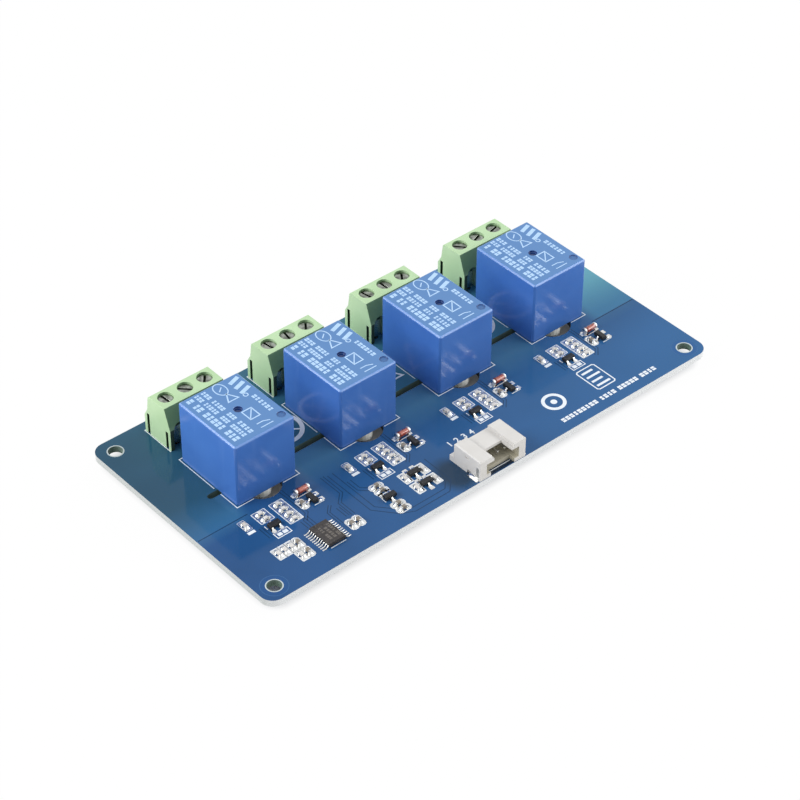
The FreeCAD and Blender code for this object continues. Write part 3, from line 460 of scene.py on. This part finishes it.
def islands(node):
    """The lowest and highest corner, in mm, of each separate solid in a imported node."""
    bm = bmesh.new()
    bm.from_mesh(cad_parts[node].data)
    bmesh.ops.remove_doubles(bm, verts=bm.verts, dist=0.001 * MM)
    seen, boxes = set(), []
    for first in bm.verts:
        if first in seen:
            continue
        seen.add(first)
        heap, points = [first], []
        while heap:
            vert = heap.pop()
            points.append(vert.co / MM)
            for edge in vert.link_edges:
                other = edge.other_vert(vert)
                if other not in seen:
                    seen.add(other)
                    heap.append(other)
        boxes.append(([min(p[i] for p in points) for i in range(3)],
                      [max(p[i] for p in points) for i in range(3)]))
    bm.free()
    return boxes


def lies_along_x(low, high):
    """True for a part that is longer along x than along y."""
    return high[0] - low[0] > high[1] - low[1]


bm = bmesh.new()
for k in CHANNELS:
    shift = k * CHANNEL_PITCH
    x0, x1, y0, y1 = 12.44 + shift, 28.71 + shift, 26.4, 46.0
    for line in ([(x0 + 4.3, y0), (x0, y0), (x0, 31.9)], [(x0, 34.1), (x0, y1), (x1, y1), (x1, 34.1)],
                 [(x1, 31.9), (x1, y0), (x1 - 4.3, y0)],
                 [(x0 + 0.2, 49.1), (x0 + 0.2, 58.25), (x1 + 0.7, 58.25), (x1 + 0.7, 49.1)],
                 [(13.1 + shift, 18.4), (13.1 + shift, 17.3)],
                 [(24.9 + shift, 16.75), (27.3 + shift, 16.75), (27.3 + shift, 17.2)],
                 [(23.9 + shift, 20.75), (26.9 + shift, 20.75)],
                 [(23.9 + shift, 22.45), (26.9 + shift, 22.45)]):
        strip(bm, [at(*p) for p in line], INK_LINE, INK_Z)
    strip(bm, [at(*p) for p in rectangle(13.1 + shift, 16.6 + shift, 13.85, 15.5)], INK_LINE, INK_Z,
          closed=True)
    for x0, x1, y0, y1 in ((9.2, 11.0, 18.35, 19.15), (13.6, 14.7, 14.2, 15.1),
                           (14.95, 16.1, 14.2, 15.1), (22.8, 23.4, 21.2, 22.2)):
        flat(bm, [at(*p) for p in rectangle(x0 + shift, x1 + shift, y0, y1)], INK_Z)
for node, along, across, cut in (("resistors", 0.85, 0.48, 0.1), ("indicators", 0.75, 0.4, 0.1),
                                 ("capacitors", 0.85, 0.5, 0.55)):
    for low, high in islands(node):
        gx, gy = (along, across) if lies_along_x(low, high) else (across, along)
        strip(bm, rectangle(low[0] - gx, high[0] + gx, low[1] - gy, high[1] + gy, cut), INK_LINE, INK_Z,
              closed=True)
for line in ([(19.3, 4.75), (23.2, 4.75)], [(19.3, 11.75), (23.2, 11.75)], [(58.4, 1.25), (64.6, 1.25)],
             [(45.3, 11.85), (45.3, 10.6)], [(45.3, 7.95), (45.3, 6.7)], [(36.5, 9.3), (36.5, 8.0)]):
    strip(bm, [at(*p) for p in line], INK_LINE, INK_Z)
for wheel_x in (34.6, 89.0):
    x, y = at(wheel_x, 39.9)
    strip(bm, arc(x, y, 4.55, steps=64), 1.0, INK_Z, closed=True)
    for angle in (-39, 51):
        spoke = Vector((math.cos(math.radians(angle)), math.sin(math.radians(angle)))) * 4.4
        strip(bm, [(x - spoke.x, y - spoke.y), (x + spoke.x, y + spoke.y)], 0.45, INK_Z + 0.002)
x, y = at(61.55, 36.85)
strip(bm, [(x - 4.4, y), (x + 4.4, y), (x, y + 7.6)], 0.45, INK_Z, closed=True)
x, y = at(84.5, 8.96)
strip(bm, arc(x, y, 2.35), 0.8, INK_Z, closed=True)
flat(bm, arc(x, y, 0.75, steps=20), INK_Z)
x, y = at(97.2, 9.2)
strip(bm, rectangle(x - 2.6, x + 2.6, y - 3.6, y + 3.6, 0.4), 0.3, INK_Z, closed=True)
for row in range(4):
    bar_y = y - 2.75 + row * 1.6
    flat(bm, rectangle(x - 1.9, x + 1.9 - 0.7 * (row % 2), bar_y, bar_y + 0.6), INK_Z)
x, y = at(81.5, 2.55)
marks(bm, x, x + 27.9, y, y + 1.2, (9, 4, 5, 4), INK_Z)
piece("printed_legend", bm, [ink_mat])

for number in range(4):
    data = bpy.data.curves.new("pin_number_%d" % (number + 1), "FONT")
    data.body = str(number + 1)
    data.size = 2.2 * MM
    data.offset = 0.045 * MM
    data.materials.append(ink_mat)
    digit = bpy.data.objects.new(data.name, data)
    x, y = at(57.8 + 2.05 * number, 12.35)
    digit.location = Vector((x, y, INK_Z)) * MM
    scene.collection.objects.link(digit)
    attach(digit, "module")

# Solder: reflowed paste at the ends of every chip and lead, and wave soldered cones round the
# through pins on the underside. Bright tin with a slightly wavy skin, so it glints in spots.
PAD_Z = BOARD_TOP + 0.024
PAD_CUT = 0.1
solder_mat = surface("reflowed_tin_solder", "#e6e7e6", "#c9cbcb", 0.2, drift=0.8, grain=0.2, relief=0.012,
                     Metallic=1.0)[0]


def fillet(bm, start, way, reach, width, height, steps=5):
    """A hollow sided drop of solder that runs out one way from a point."""
    start, way = Vector(start), Vector(way)
    across = Vector((-way.y, way.x))
    grid = []
    for i in range(steps + 1):
        u = i / steps
        row = []
        for j in range(steps + 1):
            v = 2 * j / steps - 1
            inward = 1 - 0.25 * u * u * v * v
            z = PAD_Z + 0.004 + height * (1 - u) ** 1.7 * math.sqrt(max(0.0, 1 - 0.96 * v * v))
            spot = start + way * reach * u * inward + across * width / 2 * v * inward
            row.append(bm.verts.new((spot.x, spot.y, z)))
        grid.append(row)
    for i in range(steps):
        for j in range(steps):
            bm.faces.new([grid[i][j], grid[i + 1][j], grid[i + 1][j + 1], grid[i][j + 1]])


def lathe(bm, centre, axis, profile, steps=24, index=0):
    """A round form about an axis (x or z) through a centre, from pairs of (along, radius)."""
    rings = []
    for along, radius in profile:
        ring = []
        for k in range(steps):
            a = 2 * math.pi * k / steps
            u, v = radius * math.cos(a), radius * math.sin(a)
            offset = (along, u, v) if axis == "x" else (u, v, along)
            ring.append(bm.verts.new([centre[i] + offset[i] for i in range(3)]))
        rings.append(ring)
    made = [bm.faces.new([low[k], low[(k + 1) % steps], high[(k + 1) % steps], high[k]])
            for low, high in zip(rings[:-1], rings[1:]) for k in range(steps)]
    made += [bm.faces.new(rings[0]), bm.faces.new(rings[-1])]
    for face in made:
        face.material_index = index
    bmesh.ops.recalc_face_normals(bm, faces=made)


def solder_pad(bm, x, y, half, cut=PAD_CUT):
    """A tinned pad round a point, from half its length and width."""
    flat(bm, rectangle(x - half[0], x + half[0], y - half[1], y + half[1], cut), PAD_Z)


def middle_of(low, high):
    """The middle of a box, seen from above."""
    return Vector(((low[0] + high[0]) / 2, (low[1] + high[1]) / 2))


bm = bmesh.new()
for node in ("resistors", "capacitors", "indicators"):
    for low, high in islands(node):
        along_x = lies_along_x(low, high)
        for sign in (-1, 1):
            way = Vector((sign, 0)) if along_x else Vector((0, sign))
            start, pad = [middle_of(low, high) + way * reach for reach in (0.78, 0.94)]
            fillet(bm, start, way, 0.56, 0.94, 0.8 * (high[2] - BOARD_TOP))
            solder_pad(bm, pad.x, pad.y, (0.63, 0.86) if along_x else (0.86, 0.63))
transistor_boxes = islands("transistors")
for low, high in islands("transistor_leads"):
    centre = middle_of(low, high)
    nearest = min(transistor_boxes, key=lambda box: (middle_of(*box) - centre).length)
    away = centre - middle_of(*nearest)
    if lies_along_x(*nearest):
        way = Vector((0, math.copysign(1, away.y)))
    else:
        way = Vector((math.copysign(1, away.x), 0))
    tip = centre + Vector((way.x * (high[0] - low[0]), way.y * (high[1] - low[1]))) / 2
    pad = tip + way * 0.25
    solder_pad(bm, pad.x, pad.y, (0.78, 0.56) if way.x else (0.56, 0.78))
    fillet(bm, tip - way * 0.12, way, 0.75, 0.85, 0.2)
controller_x = middle_of(*corners("controller_chip")).x
for low, high in islands("controller_leads"):
    y = (low[1] + high[1]) / 2
    sign = 1 if low[0] > controller_x else -1
    tip = high[0] if sign > 0 else low[0]
    flat(bm, rectangle(*sorted((tip - sign * 0.55, tip + sign * 0.5)), y - 0.17, y + 0.17, 0.05), PAD_Z)
    fillet(bm, (tip - sign * 0.08, y), (sign, 0), 0.42, 0.3, 0.1)
for low, high in islands("diode_end_caps"):
    solder_pad(bm, *middle_of(low, high), (0.6, 0.85), 0.12)
for low, high in islands("socket_tabs"):
    sign = 1 if low[0] > 0 else -1
    edge_x = high[0] if sign > 0 else low[0]
    y = (low[1] + high[1]) / 2
    flat(bm, rectangle(*sorted((edge_x - sign * 0.3, edge_x + sign * 0.65)), low[1] - 0.1,
                       high[1] + 0.1, 0.2), PAD_Z)
    fillet(bm, (edge_x, y), (sign, 0), 0.55, high[1] - low[1], 0.7, steps=8)
for low, high in islands("socket_pins"):
    x = (low[0] + high[0]) / 2
    flat(bm, rectangle(x - 0.45, x + 0.45, high[1] - 0.9, high[1] + 0.55, 0.1), PAD_Z)
    fillet(bm, (x, high[1] - 0.05), (0, 1), 0.5, 0.6, 0.22)
piece("reflowed_solder", bm, [solder_mat], sharp=60)

RELAY_X = [(k - 1.5) * CHANNEL_PITCH for k in CHANNELS]
RELAY_PINS = [(0, PIN_Y), (-6, 0.5), (6, 0.5), (-6, 12.7), (6, 12.7)]
POLE_PITCH = 5.08
TERMINAL_PINS = [(-POLE_PITCH, 20.6), (0, 20.6), (POLE_PITCH, 20.6)]
bm = bmesh.new()
for x in RELAY_X:
    for dx, y in RELAY_PINS + TERMINAL_PINS:
        size = random.uniform(0.94, 1.06)
        lathe(bm, (x + dx, y, 0), "z", [(-0.01, 1.3 * size), (-0.1, 1.22 * size), (-0.3, 0.98 * size),
                                       (-0.55, 0.78), (-0.85, 0.64), (-1.1 * size, 0.58)], steps=20)
piece("pin_solder_cones", bm, [solder_mat], sharp=50)

# Relay cases: glossy blue moulded plastic, each a deep cap with softly rounded edges, a vent hole
# and a gate mark on top, and faint flow streaks. Their tops are painted lighter, as lit, with a
# painted highlight on the rim and painted shade in the vent and on the pit walls. They are pushed
# over the base plate and sealed.
CASE_TOP, CASE_LEFT, CASE_FRONT = 17.1, -7.7, -3.6
PIT_HALF_X, PIT_Y = 7.2, (-3.1, 14.9)
case_mat, tree, shader, tint, place = surface(
    "glossy_blue_case_plastic", "#4776c1", "#3e6bb6", 0.16, drift=9, grain=0.5, amount=0.6, relief=0.003,
    rough_spread=0.06)
streak = add(tree, "Mapping", {"Vector": place, "Rotation": (0, 0.9, 0), "Scale": (1, 1, 0.12)}).outputs[0]
streak = add(tree, "TexNoise", {"Vector": streak, "Scale": 1 / (3.0 * MM), "Detail": 2.0}).outputs["Fac"]
streak = add(tree, "MapRange", {"Value": streak, "From Min": 0.62, "From Max": 0.8,
                                "To Max": 0.1}).outputs["Result"]
tint = cover_colour(tree, shader, tint, streak, rgb("#86a6dc"))
# Painted light: faces that look up are lighter and greyer, as lit from above.
upward = add(tree, "SeparateXYZ", {0: add(tree, "TexCoord").outputs["Normal"]}).outputs["Z"]
upward = add(tree, "Math", {0: upward, 1: 0.9}, operation="GREATER_THAN").outputs[0]
painted_top_light = add(tree, "Math", {0: upward, 1: 0.85}, operation="MULTIPLY").outputs[0]
tint = cover_colour(tree, shader, tint, painted_top_light, rgb("#5482b6"))
# Painted shade: the vent hole's floor is dark.
vent_floor_shade = add(tree, "SeparateXYZ", {0: place}).outputs["Z"]
vent_floor_shade = add(tree, "MapRange", {"Value": vent_floor_shade, "From Min": (CASE_TOP - 0.3) * MM,
                              "From Max": (CASE_TOP - 0.4) * MM}).outputs["Result"]
vent_floor_shade = add(tree, "Math", {0: vent_floor_shade, 1: upward}, operation="MULTIPLY").outputs[0]
cover_colour(tree, shader, tint, vent_floor_shade, rgb("#14336b"))
# Painted highlight: the rim round the top is a lighter blue.
rim_highlight_mat = surface("case_rim_painted_highlight", "#6d95d4", "#5f88c9", 0.2, drift=3, grain=0.3, relief=0.003)[0]
# Painted shade: the walls of the round pits are dark blue.
pit_shade_mat, gate_mat = [surface(name, colour, shade, 0.3, drift=2, grain=0.3, relief=0.003)[0]
                     for name, colour, shade in (("case_pit_wall_painted_shade", "#23407c", "#1c356b"),
                                                 ("case_gate_floor", "#3c679f", "#345d94"))]


def rounded(node, name, materials, width, body="module", segments=2, hard_angle=33, second=None):
    """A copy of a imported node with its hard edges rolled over, in place of the node. The faces
    that the test called second picks out, by centre and normal, get another material."""
    bm = bmesh.new()
    bm.from_mesh(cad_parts[node].data)
    bmesh.ops.scale(bm, vec=(1 / MM,) * 3, verts=bm.verts)
    bmesh.ops.remove_doubles(bm, verts=bm.verts, dist=0.001)
    bmesh.ops.dissolve_limit(bm, angle_limit=math.radians(1), verts=bm.verts, edges=bm.edges)
    hard = [edge for edge in bm.edges
            if len(edge.link_faces) == 2 and edge.calc_face_angle(0) > math.radians(hard_angle)]
    bmesh.ops.bevel(bm, geom=hard, offset=width, segments=segments, profile=0.5, affect="EDGES",
                    clamp_overlap=True)
    for face in bm.faces:
        if second:
            face.material_index = int(second(face.calc_center_median(), face.normal))
    made = piece(name, bm, materials, body, (node,), sharp=40)
    made.modifiers.new("even_normals", "WEIGHTED_NORMAL").keep_sharp = True
    return made


def case_part(centre, normal):
    """1 for the rim round the top, which gets a painted highlight, 2 for the walls of the two round
    pits, which get painted shade, 3 for the gate mark's floor, and 0 for the rest."""
    inside = abs(centre.x - middle) < PIT_HALF_X and PIT_Y[0] < centre.y < PIT_Y[1]
    if inside and abs(normal.z) < 0.7 and centre.z > 16.4:
        return 2
    if inside and 16.8 < centre.z < 16.9:
        return 3
    return int(not inside and centre.z > 16.75 and 0.2 < normal.z < 0.97)


for number, middle in enumerate(RELAY_X, 1):
    rounded("relay_cover_%d" % number, "relay_case_%d" % number, [case_mat, rim_highlight_mat, pit_shade_mat, gate_mat],
            0.12, second=case_part)

# Print on the relay tops: pale blue ink, pad printed in rows along the case, which looks flat and
# dull on the gloss. Here it is plain marks and the common drawing signs for a coil and a
# changeover contact. Places are counted from the case's left front corner.
PRINT_LINE = 0.26
print_mat = surface("pad_printed_ink", "#b4d3f3", "#9cc1ea", 0.5, drift=1.0, grain=0.12, relief=0.006)[0]
bm = bmesh.new()
for x in RELAY_X:
    left, front, z = x + CASE_LEFT, CASE_FRONT, CASE_TOP + 0.012
    for low, high, start, end, groups in ((1.3, 2.9, 1.75, 18.2, (3, 5, 2, 1)),
                                          (3.5, 4.6, 1.8, 6.4, (5,)), (3.5, 4.6, 7.2, 9.7, (3,)),
                                          (3.5, 4.6, 10.9, 18.4, (5, 3)), (5.2, 6.3, 1.8, 6.4, (4,)),
                                          (5.2, 6.3, 7.2, 9.7, (3,)), (5.2, 6.3, 10.9, 18.4, (4, 3)),
                                          (12.6, 13.7, 4.6, 11.0, (6,))):
        marks(bm, front + start, front + end, left + high, left + low, groups, z, turn=True)
    strip(bm, arc(left + 9.1, front + 16.5, 1.35, tall=1.45, steps=28), PRINT_LINE, z, closed=True)
    strip(bm, [(left + 7.9, front + 12.2), (left + 10.5, front + 12.2), (left + 9.2, front + 14.6)], 0.3, z,
          closed=True)
    strip(bm, rectangle(left + 8.0, left + 10.4, front + 5.0, front + 8.0), 0.3, z, closed=True)
    for line in ([(8.5, 16.0), (9.7, 17.0)], [(8.1, 5.2), (10.3, 7.8)], [(8.0, 1.7), (11.2, 1.7)],
                 [(8.0, 3.1), (9.6, 3.1), (11.0, 2.5)]):
        strip(bm, [(left + dx, front + dy) for dx, dy in line], PRINT_LINE, z)
    for step in range(3):
        y = front + 12.8 + step * 1.9
        strip(bm, [(left + 11.6, y), (left + 14.4, y + 0.9)], 0.95, z)
    strip(bm, arc(left + 12.1, front + 11.9, 0.5, steps=20), PRINT_LINE, z, closed=True)
piece("relay_print", bm, [print_mat])

# Inside the relays: base plates of darker filled plastic, plain iron yokes, cores and armatures
# with a dull nickel look, black coil formers, enamelled copper windings and bronze contacts. The
# real wire is much finer, and its turns are drawn coarse enough to show.
base_mat = surface("filled_base_plastic", "#2a4a86", "#223f76", 0.5, drift=4, grain=0.2, relief=0.01)[0]
iron_mat = surface("nickel_washed_iron", "#b9b8b4", "#9c9b96", 0.38, drift=3, grain=0.15, relief=0.008,
                   Metallic=1.0)[0]
former_mat = surface("moulded_black_nylon", "#2b2b2d", "#1f1f21", 0.5, drift=3, grain=0.2, relief=0.008)[0]
bronze_mat = surface("rolled_contact_bronze", "#c79a62", "#a87f4c", 0.3, drift=2, grain=0.12, relief=0.006,
                     Metallic=1.0)[0]
WIRE_STEP = 0.32
winding_mat, tree, shader, _, place = surface("enamelled_copper_wire", "#b8623a", "#9c4d2b", 0.28,
                                              drift=2, grain=0.2, relief=0.004, Metallic=1.0)
turns = add(tree, "SeparateXYZ", {0: place}).outputs["Z"]
turns = add(tree, "Math", {0: turns, 1: 2 * math.pi / (WIRE_STEP * MM)}, operation="MULTIPLY").outputs[0]
turns = add(tree, "Math", {0: turns}, operation="SINE").outputs[0]
bump = add(tree, "Bump", {"Height": turns, "Distance": 0.06 * MM, "Strength": 1.0})
tree.links.new(bump.outputs["Normal"], shader.inputs["Normal"])
tin_mat = surface("tinned_copper_sheet", "#d9d9d4", "#bdbdb6", 0.28, drift=1.5, grain=0.12, relief=0.006,
                  Metallic=1.0)[0]
for node, mat in (("relay_bases", base_mat), ("relay_yokes", iron_mat), ("relay_cores", iron_mat),
                  ("relay_bobbins", former_mat), ("relay_windings", winding_mat),
                  ("relay_coil_pins", tin_mat), ("relay_return_leaves", bronze_mat),
                  ("relay_fixed_contacts", bronze_mat), ("terminal_contacts", tin_mat)):
    dress(node, mat)
for k in CHANNELS:
    dress("relay_armature_%d" % (k + 1), iron_mat)

# Screw terminals: light green moulded nylon, hooked together with ribs and grooves, which get
# painted shade. Their fronts, towards the relays, get painted shade too. The zinc plated screws
# are mottled, with strong pale and dark patches painted as glints, and driver slots painted black
# as shade. Each lifts a steel clamp.
green_mat, tree, shader, tint, place = surface("light_green_nylon", "#b9d7ab", "#adcd9e", 0.36, drift=7,
                                               grain=0.35, amount=0.6, relief=0.006)
# Painted shade on the faces towards the relays, stronger higher up.
front = add(tree, "SeparateXYZ", {0: add(tree, "TexCoord").outputs["Normal"]}).outputs["Y"]
front = add(tree, "MapRange", {"Value": front, "From Min": -0.5, "From Max": -0.9}).outputs["Result"]
height = add(tree, "SeparateXYZ", {0: place}).outputs["Z"]
height = add(tree, "MapRange", {"Value": height, "From Min": 4.5 * MM, "From Max": 8 * MM,
                                "To Min": 0.1, "To Max": 0.85}).outputs["Result"]
front = add(tree, "Math", {0: front, 1: height}, operation="MULTIPLY").outputs[0]
cover_colour(tree, shader, tint, front, rgb("#64875a"))
# Painted shade: the grooves on each housing's left end are dark green.
groove_shade_mat = surface("light_green_nylon_painted_groove_shade", "#33462f", "#2a3a27", 0.5, drift=3, grain=0.3,
                         relief=0.006)[0]
# Mottled steel: the strong pale and dark patches are painted glints and reflections.
glint_painted_steel_mat = surface("zinc_plated_steel_with_painted_glints", "#a9afa6", "#5b6058", 0.2, drift=0.9, amount=0.9, grain=0.12,
                    relief=0.014, Metallic=1.0)[0]
# Painted shade: the driver slots are near black.
slot_shade_mat = surface("driver_slot_painted_shade", "#262824", "#1a1c18", 0.5, drift=0.8, grain=0.12, relief=0.014,
                   Metallic=1.0)[0]
SCREW_TOP, SLOT_DEPTH, SCREW_Y = 11.5, 0.6, 23.45
BODY_LEFT, GROOVE_TOP = -7.72, 7.0
for k, relay_x in enumerate(RELAY_X, 1):
    rounded("terminal_housing_%d" % k, "terminal_body_%d" % k, [green_mat, groove_shade_mat],
            0.1,
            second=lambda c, n: 0.2 < c.x - relay_x - BODY_LEFT < 1.0 and c.z < GROOVE_TOP)
    for pole in (1, 2, 3):
        tag = "%d_%d" % (k, pole)
        screw = Vector((relay_x + (pole - 2) * POLE_PITCH, SCREW_Y, 0))
        rounded("clamp_screw_" + tag, "terminal_screw_" + tag, [glint_painted_steel_mat, slot_shade_mat], 0.07,
                "screw_" + tag, hard_angle=50,
                second=lambda c, n: SCREW_TOP - SLOT_DEPTH - 0.02 < c.z < SCREW_TOP - 0.12
                and (n.z > 0.9 or (c - screw).xy.dot(n.xy) < 0))
        rounded("clamp_cage_" + tag, "terminal_clamp_" + tag, [glint_painted_steel_mat], 0.06,
                "clamp_" + tag, segments=1, hard_angle=50)

# Chip parts: sintered ceramic blocks with tinned caps on both ends. The resistors are pale with a
# printed film on top, the capacitors brown all through, the indicators clear over a pale base.
ceramic_mat = surface("white_alumina", "#dedbd6", "#c9c5bf", 0.5, drift=0.6, grain=0.08, relief=0.006)[0]
film_mat = surface("lacquered_resistor_film", "#cbc7ca", "#b2acb1", 0.35, drift=0.5, grain=0.08,
                   relief=0.004)[0]
brown_mat = surface("sintered_capacitor_ceramic", "#8d857a", "#6e675d", 0.45, drift=0.5, grain=0.08,
                    relief=0.006)[0]
cap_mat = surface("plated_end_cap", "#e3e3e0", "#c6c6c2", 0.3, drift=0.5, grain=0.08, relief=0.01,
                  Metallic=1.0)[0]
clear_mat = surface("clear_indicator_epoxy", "#efebe6", "#ded7cf", 0.2, drift=0.5, grain=0.1, relief=0.004,
                    Transmission_Weight=0.35)[0]


def box(bm, low, high, roll=0.0, index=0):
    """A block between two corners with its edges rolled over."""
    verts = bmesh.ops.create_cube(bm, size=1.0)["verts"]
    for vert in verts:
        vert.co = Vector([(low[i] + high[i]) / 2 + vert.co[i] * (high[i] - low[i]) for i in range(3)])
    faces = {face for vert in verts for face in vert.link_faces}
    if roll:
        edges = {edge for vert in verts for edge in vert.link_edges}
        rolled = bmesh.ops.bevel(bm, geom=list(edges), offset=roll, segments=2, profile=0.5,
                                 affect="EDGES", clamp_overlap=True)
        faces |= set(rolled["faces"])
    for face in faces:
        if face.is_valid:
            face.material_index = index


def inset_box(low, high, ends, sides):
    """The corners of a chip box, drawn in along its length by one value and across by another."""
    dx, dy = (ends, sides) if lies_along_x(low, high) else (sides, ends)
    return [low[0] + dx, low[1] + dy, low[2]], [high[0] - dx, high[1] - dy, high[2]]


END_CAP = 0.32
for node, body_mat, slot in (("resistors", ceramic_mat, "chip_resistor"),
                             ("capacitors", brown_mat, "chip_ceramic_brown"),
                             ("indicators", clear_mat, "clear_indicator")):
    bm = bmesh.new()
    caps = bmesh.new()
    for low, high in islands(node):
        a, b = inset_box(low, high, 0.06, 0.03)
        a[2], b[2] = a[2] + 0.03, b[2] - 0.03
        box(bm, a, b, 0.03)
        if node == "resistors":
            a, b = inset_box(low, high, END_CAP + 0.02, 0.07)
            box(bm, [a[0], a[1], high[2] - 0.04], [b[0], b[1], high[2] - 0.012], 0.008, index=1)
        for sign in (-1, 1):
            a, b = list(low), list(high)
            along = 0 if lies_along_x(low, high) else 1
            if sign < 0:
                b[along] = low[along] + END_CAP
            else:
                a[along] = high[along] - END_CAP
            box(caps, a, b, 0.07)
    piece(node[:-1] + "_chips", bm, [body_mat, film_mat], replaces=(node,))
    piece(node[:-1] + "_end_caps", caps, [cap_mat])

# Transistors and the controller: black epoxy moulded round a tinned lead frame, matt on top. The
# controller looks browner and mottled, with laser marks drawn as plain rows. The leads slope down
# to flat feet.
epoxy_mat = surface("moulded_black_epoxy", "#151516", "#0e0e0f", 0.42, drift=1.5, grain=0.14,
                    relief=0.014)[0]
rounded("transistors", "transistor_bodies", [epoxy_mat], 0.05, hard_angle=20)
rounded("transistor_leads", "transistor_lead_frame", [tin_mat], 0.03, segments=1)
chip_mat, tree, shader, tint, place = surface("laser_marked_epoxy", "#312d2b", "#25211f", 0.45, drift=2.0,
                                              grain=0.14, relief=0.014)
mottle = add(tree, "TexNoise", {"Vector": place, "Scale": 1 / (0.5 * MM), "Detail": 4.0}).outputs["Fac"]
mottle = add(tree, "MapRange", {"Value": mottle, "From Min": 0.5, "From Max": 0.7,
                                "To Max": 0.5}).outputs["Result"]
cover_colour(tree, shader, tint, mottle, rgb("#57514b"))
rounded("controller_chip", "controller_body", [chip_mat], 0.05, hard_angle=20)
rounded("controller_leads", "controller_lead_frame", [tin_mat], 0.02, segments=1)
mark_mat = surface("laser_mark", "#6d6862", "#5e5953", 0.6, drift=0.8, grain=0.1, relief=0.01)[0]
low, high = corners("controller_chip")
bm = bmesh.new()
for row, groups in enumerate(((3, 3), (5,), (2, 4))):
    x = low[0] + 1.1 + row * 1.1
    marks(bm, low[1] + 1.0, high[1] - 1.2 - 0.6 * (row % 2), x + 0.62, x, groups, high[2] + 0.006,
          turn=True)
piece("controller_marks", bm, [mark_mat])

# Diodes: a red-orange glass bead sealed round the chip, with painted shade that darkens it towards
# its sides, a tinned steel cap on each end and a dark band painted on the glass near one of them.
ROUND_STEPS = 28
glass_mat, tree, shader, tint, _ = surface(
    "sealed_diode_glass", "#e28570", "#d9745d", 0.08, drift=1.2, grain=0.3, relief=0.002,
    Transmission_Weight=0.2, IOR=1.5, Coat_Weight=1.0, Coat_Roughness=0.04)
painted_side_shade = add(tree, "LayerWeight", {"Blend": 0.5}).outputs["Facing"]
painted_side_shade = add(tree, "MapRange", {"Value": painted_side_shade, "From Min": 0.05, "From Max": 0.42}).outputs["Result"]
cover_colour(tree, shader, tint, painted_side_shade, rgb("#8a211a"))
band_mat = surface("dark_band_paint", "#5a1f16", "#43150f", 0.4, drift=0.8, grain=0.1, relief=0.006)[0]


def round_along_x(bm, low, high, profile, index=0):
    """A round part in a box. Its profile has the place along x, counted from the right end where
    it is below zero, and the share of the full radius."""
    radius, length = (high[2] - low[2]) / 2, high[0] - low[0]
    centre = [low[0], (low[1] + high[1]) / 2, (low[2] + high[2]) / 2]
    lathe(bm, centre, "x", [(x if x >= 0 else length + x, radius * share) for x, share in profile],
          steps=ROUND_STEPS, index=index)


bm, caps = bmesh.new(), bmesh.new()
for low, high in islands("diode_glasses"):
    length = high[0] - low[0]
    round_along_x(bm, low, high, [(0.0, 0.97), (0.12, 1), (length * 0.5, 0.93), (-0.12, 1), (length, 0.97)])
    round_along_x(bm, low, high, [(0.12, 0.97), (0.13, 1.008), (0.42, 0.995), (0.43, 0.96)], index=1)
for low, high in islands("diode_end_caps"):
    round_along_x(caps, low, high, [(0.0, 0.86), (0.05, 0.96), (0.12, 1), (-0.12, 1), (-0.05, 0.96),
                                    (high[0] - low[0], 0.86)])
piece("diode_beads", bm, [glass_mat, band_mat], replaces=("diode_glasses",))
piece("diode_caps", caps, [cap_mat], replaces=("diode_end_caps",))

# Cable socket: white moulded nylon, a little clear, with a deep mouth that opens to the front and a
# latch window on top; inside the mouth painted shade makes it darker and yellower. Four square
# tinned pins stand inside, and two dull tinned tabs on its sides are soldered to the board.
nylon_mat = surface("white_moulded_nylon", "#d4d2cf", "#cac7c2", 0.42, drift=5, grain=0.3, relief=0.008,
                    Subsurface_Weight=0.1, Subsurface_Radius=(0.001, 0.001, 0.001))[0]
mouth_shade_nylon_mat = surface("white_nylon_painted_mouth_shade", "#bdb8a6", "#aca794", 0.42, drift=3, grain=0.3,
                          relief=0.008)[0]
low, high = corners("socket_housing")
rounded("socket_housing", "socket_body", [nylon_mat, mouth_shade_nylon_mat], 0.1,
        second=lambda c, n: low[0] + 0.6 < c.x < high[0] - 0.6 and low[2] + 0.4 < c.z < high[2] - 1.6
        and low[1] + 0.3 < c.y < high[1] - 0.8)
rounded("socket_pins", "socket_contact_pins", [tin_mat], 0.05)
tab_mat = surface("matt_tinned_tab", "#cfcec8", "#b4b3ac", 0.5, drift=1.0, grain=0.12, relief=0.01,
                  Metallic=0.85)[0]
rounded("socket_tabs", "socket_solder_tabs", [tab_mat], 0.04, hard_angle=40)
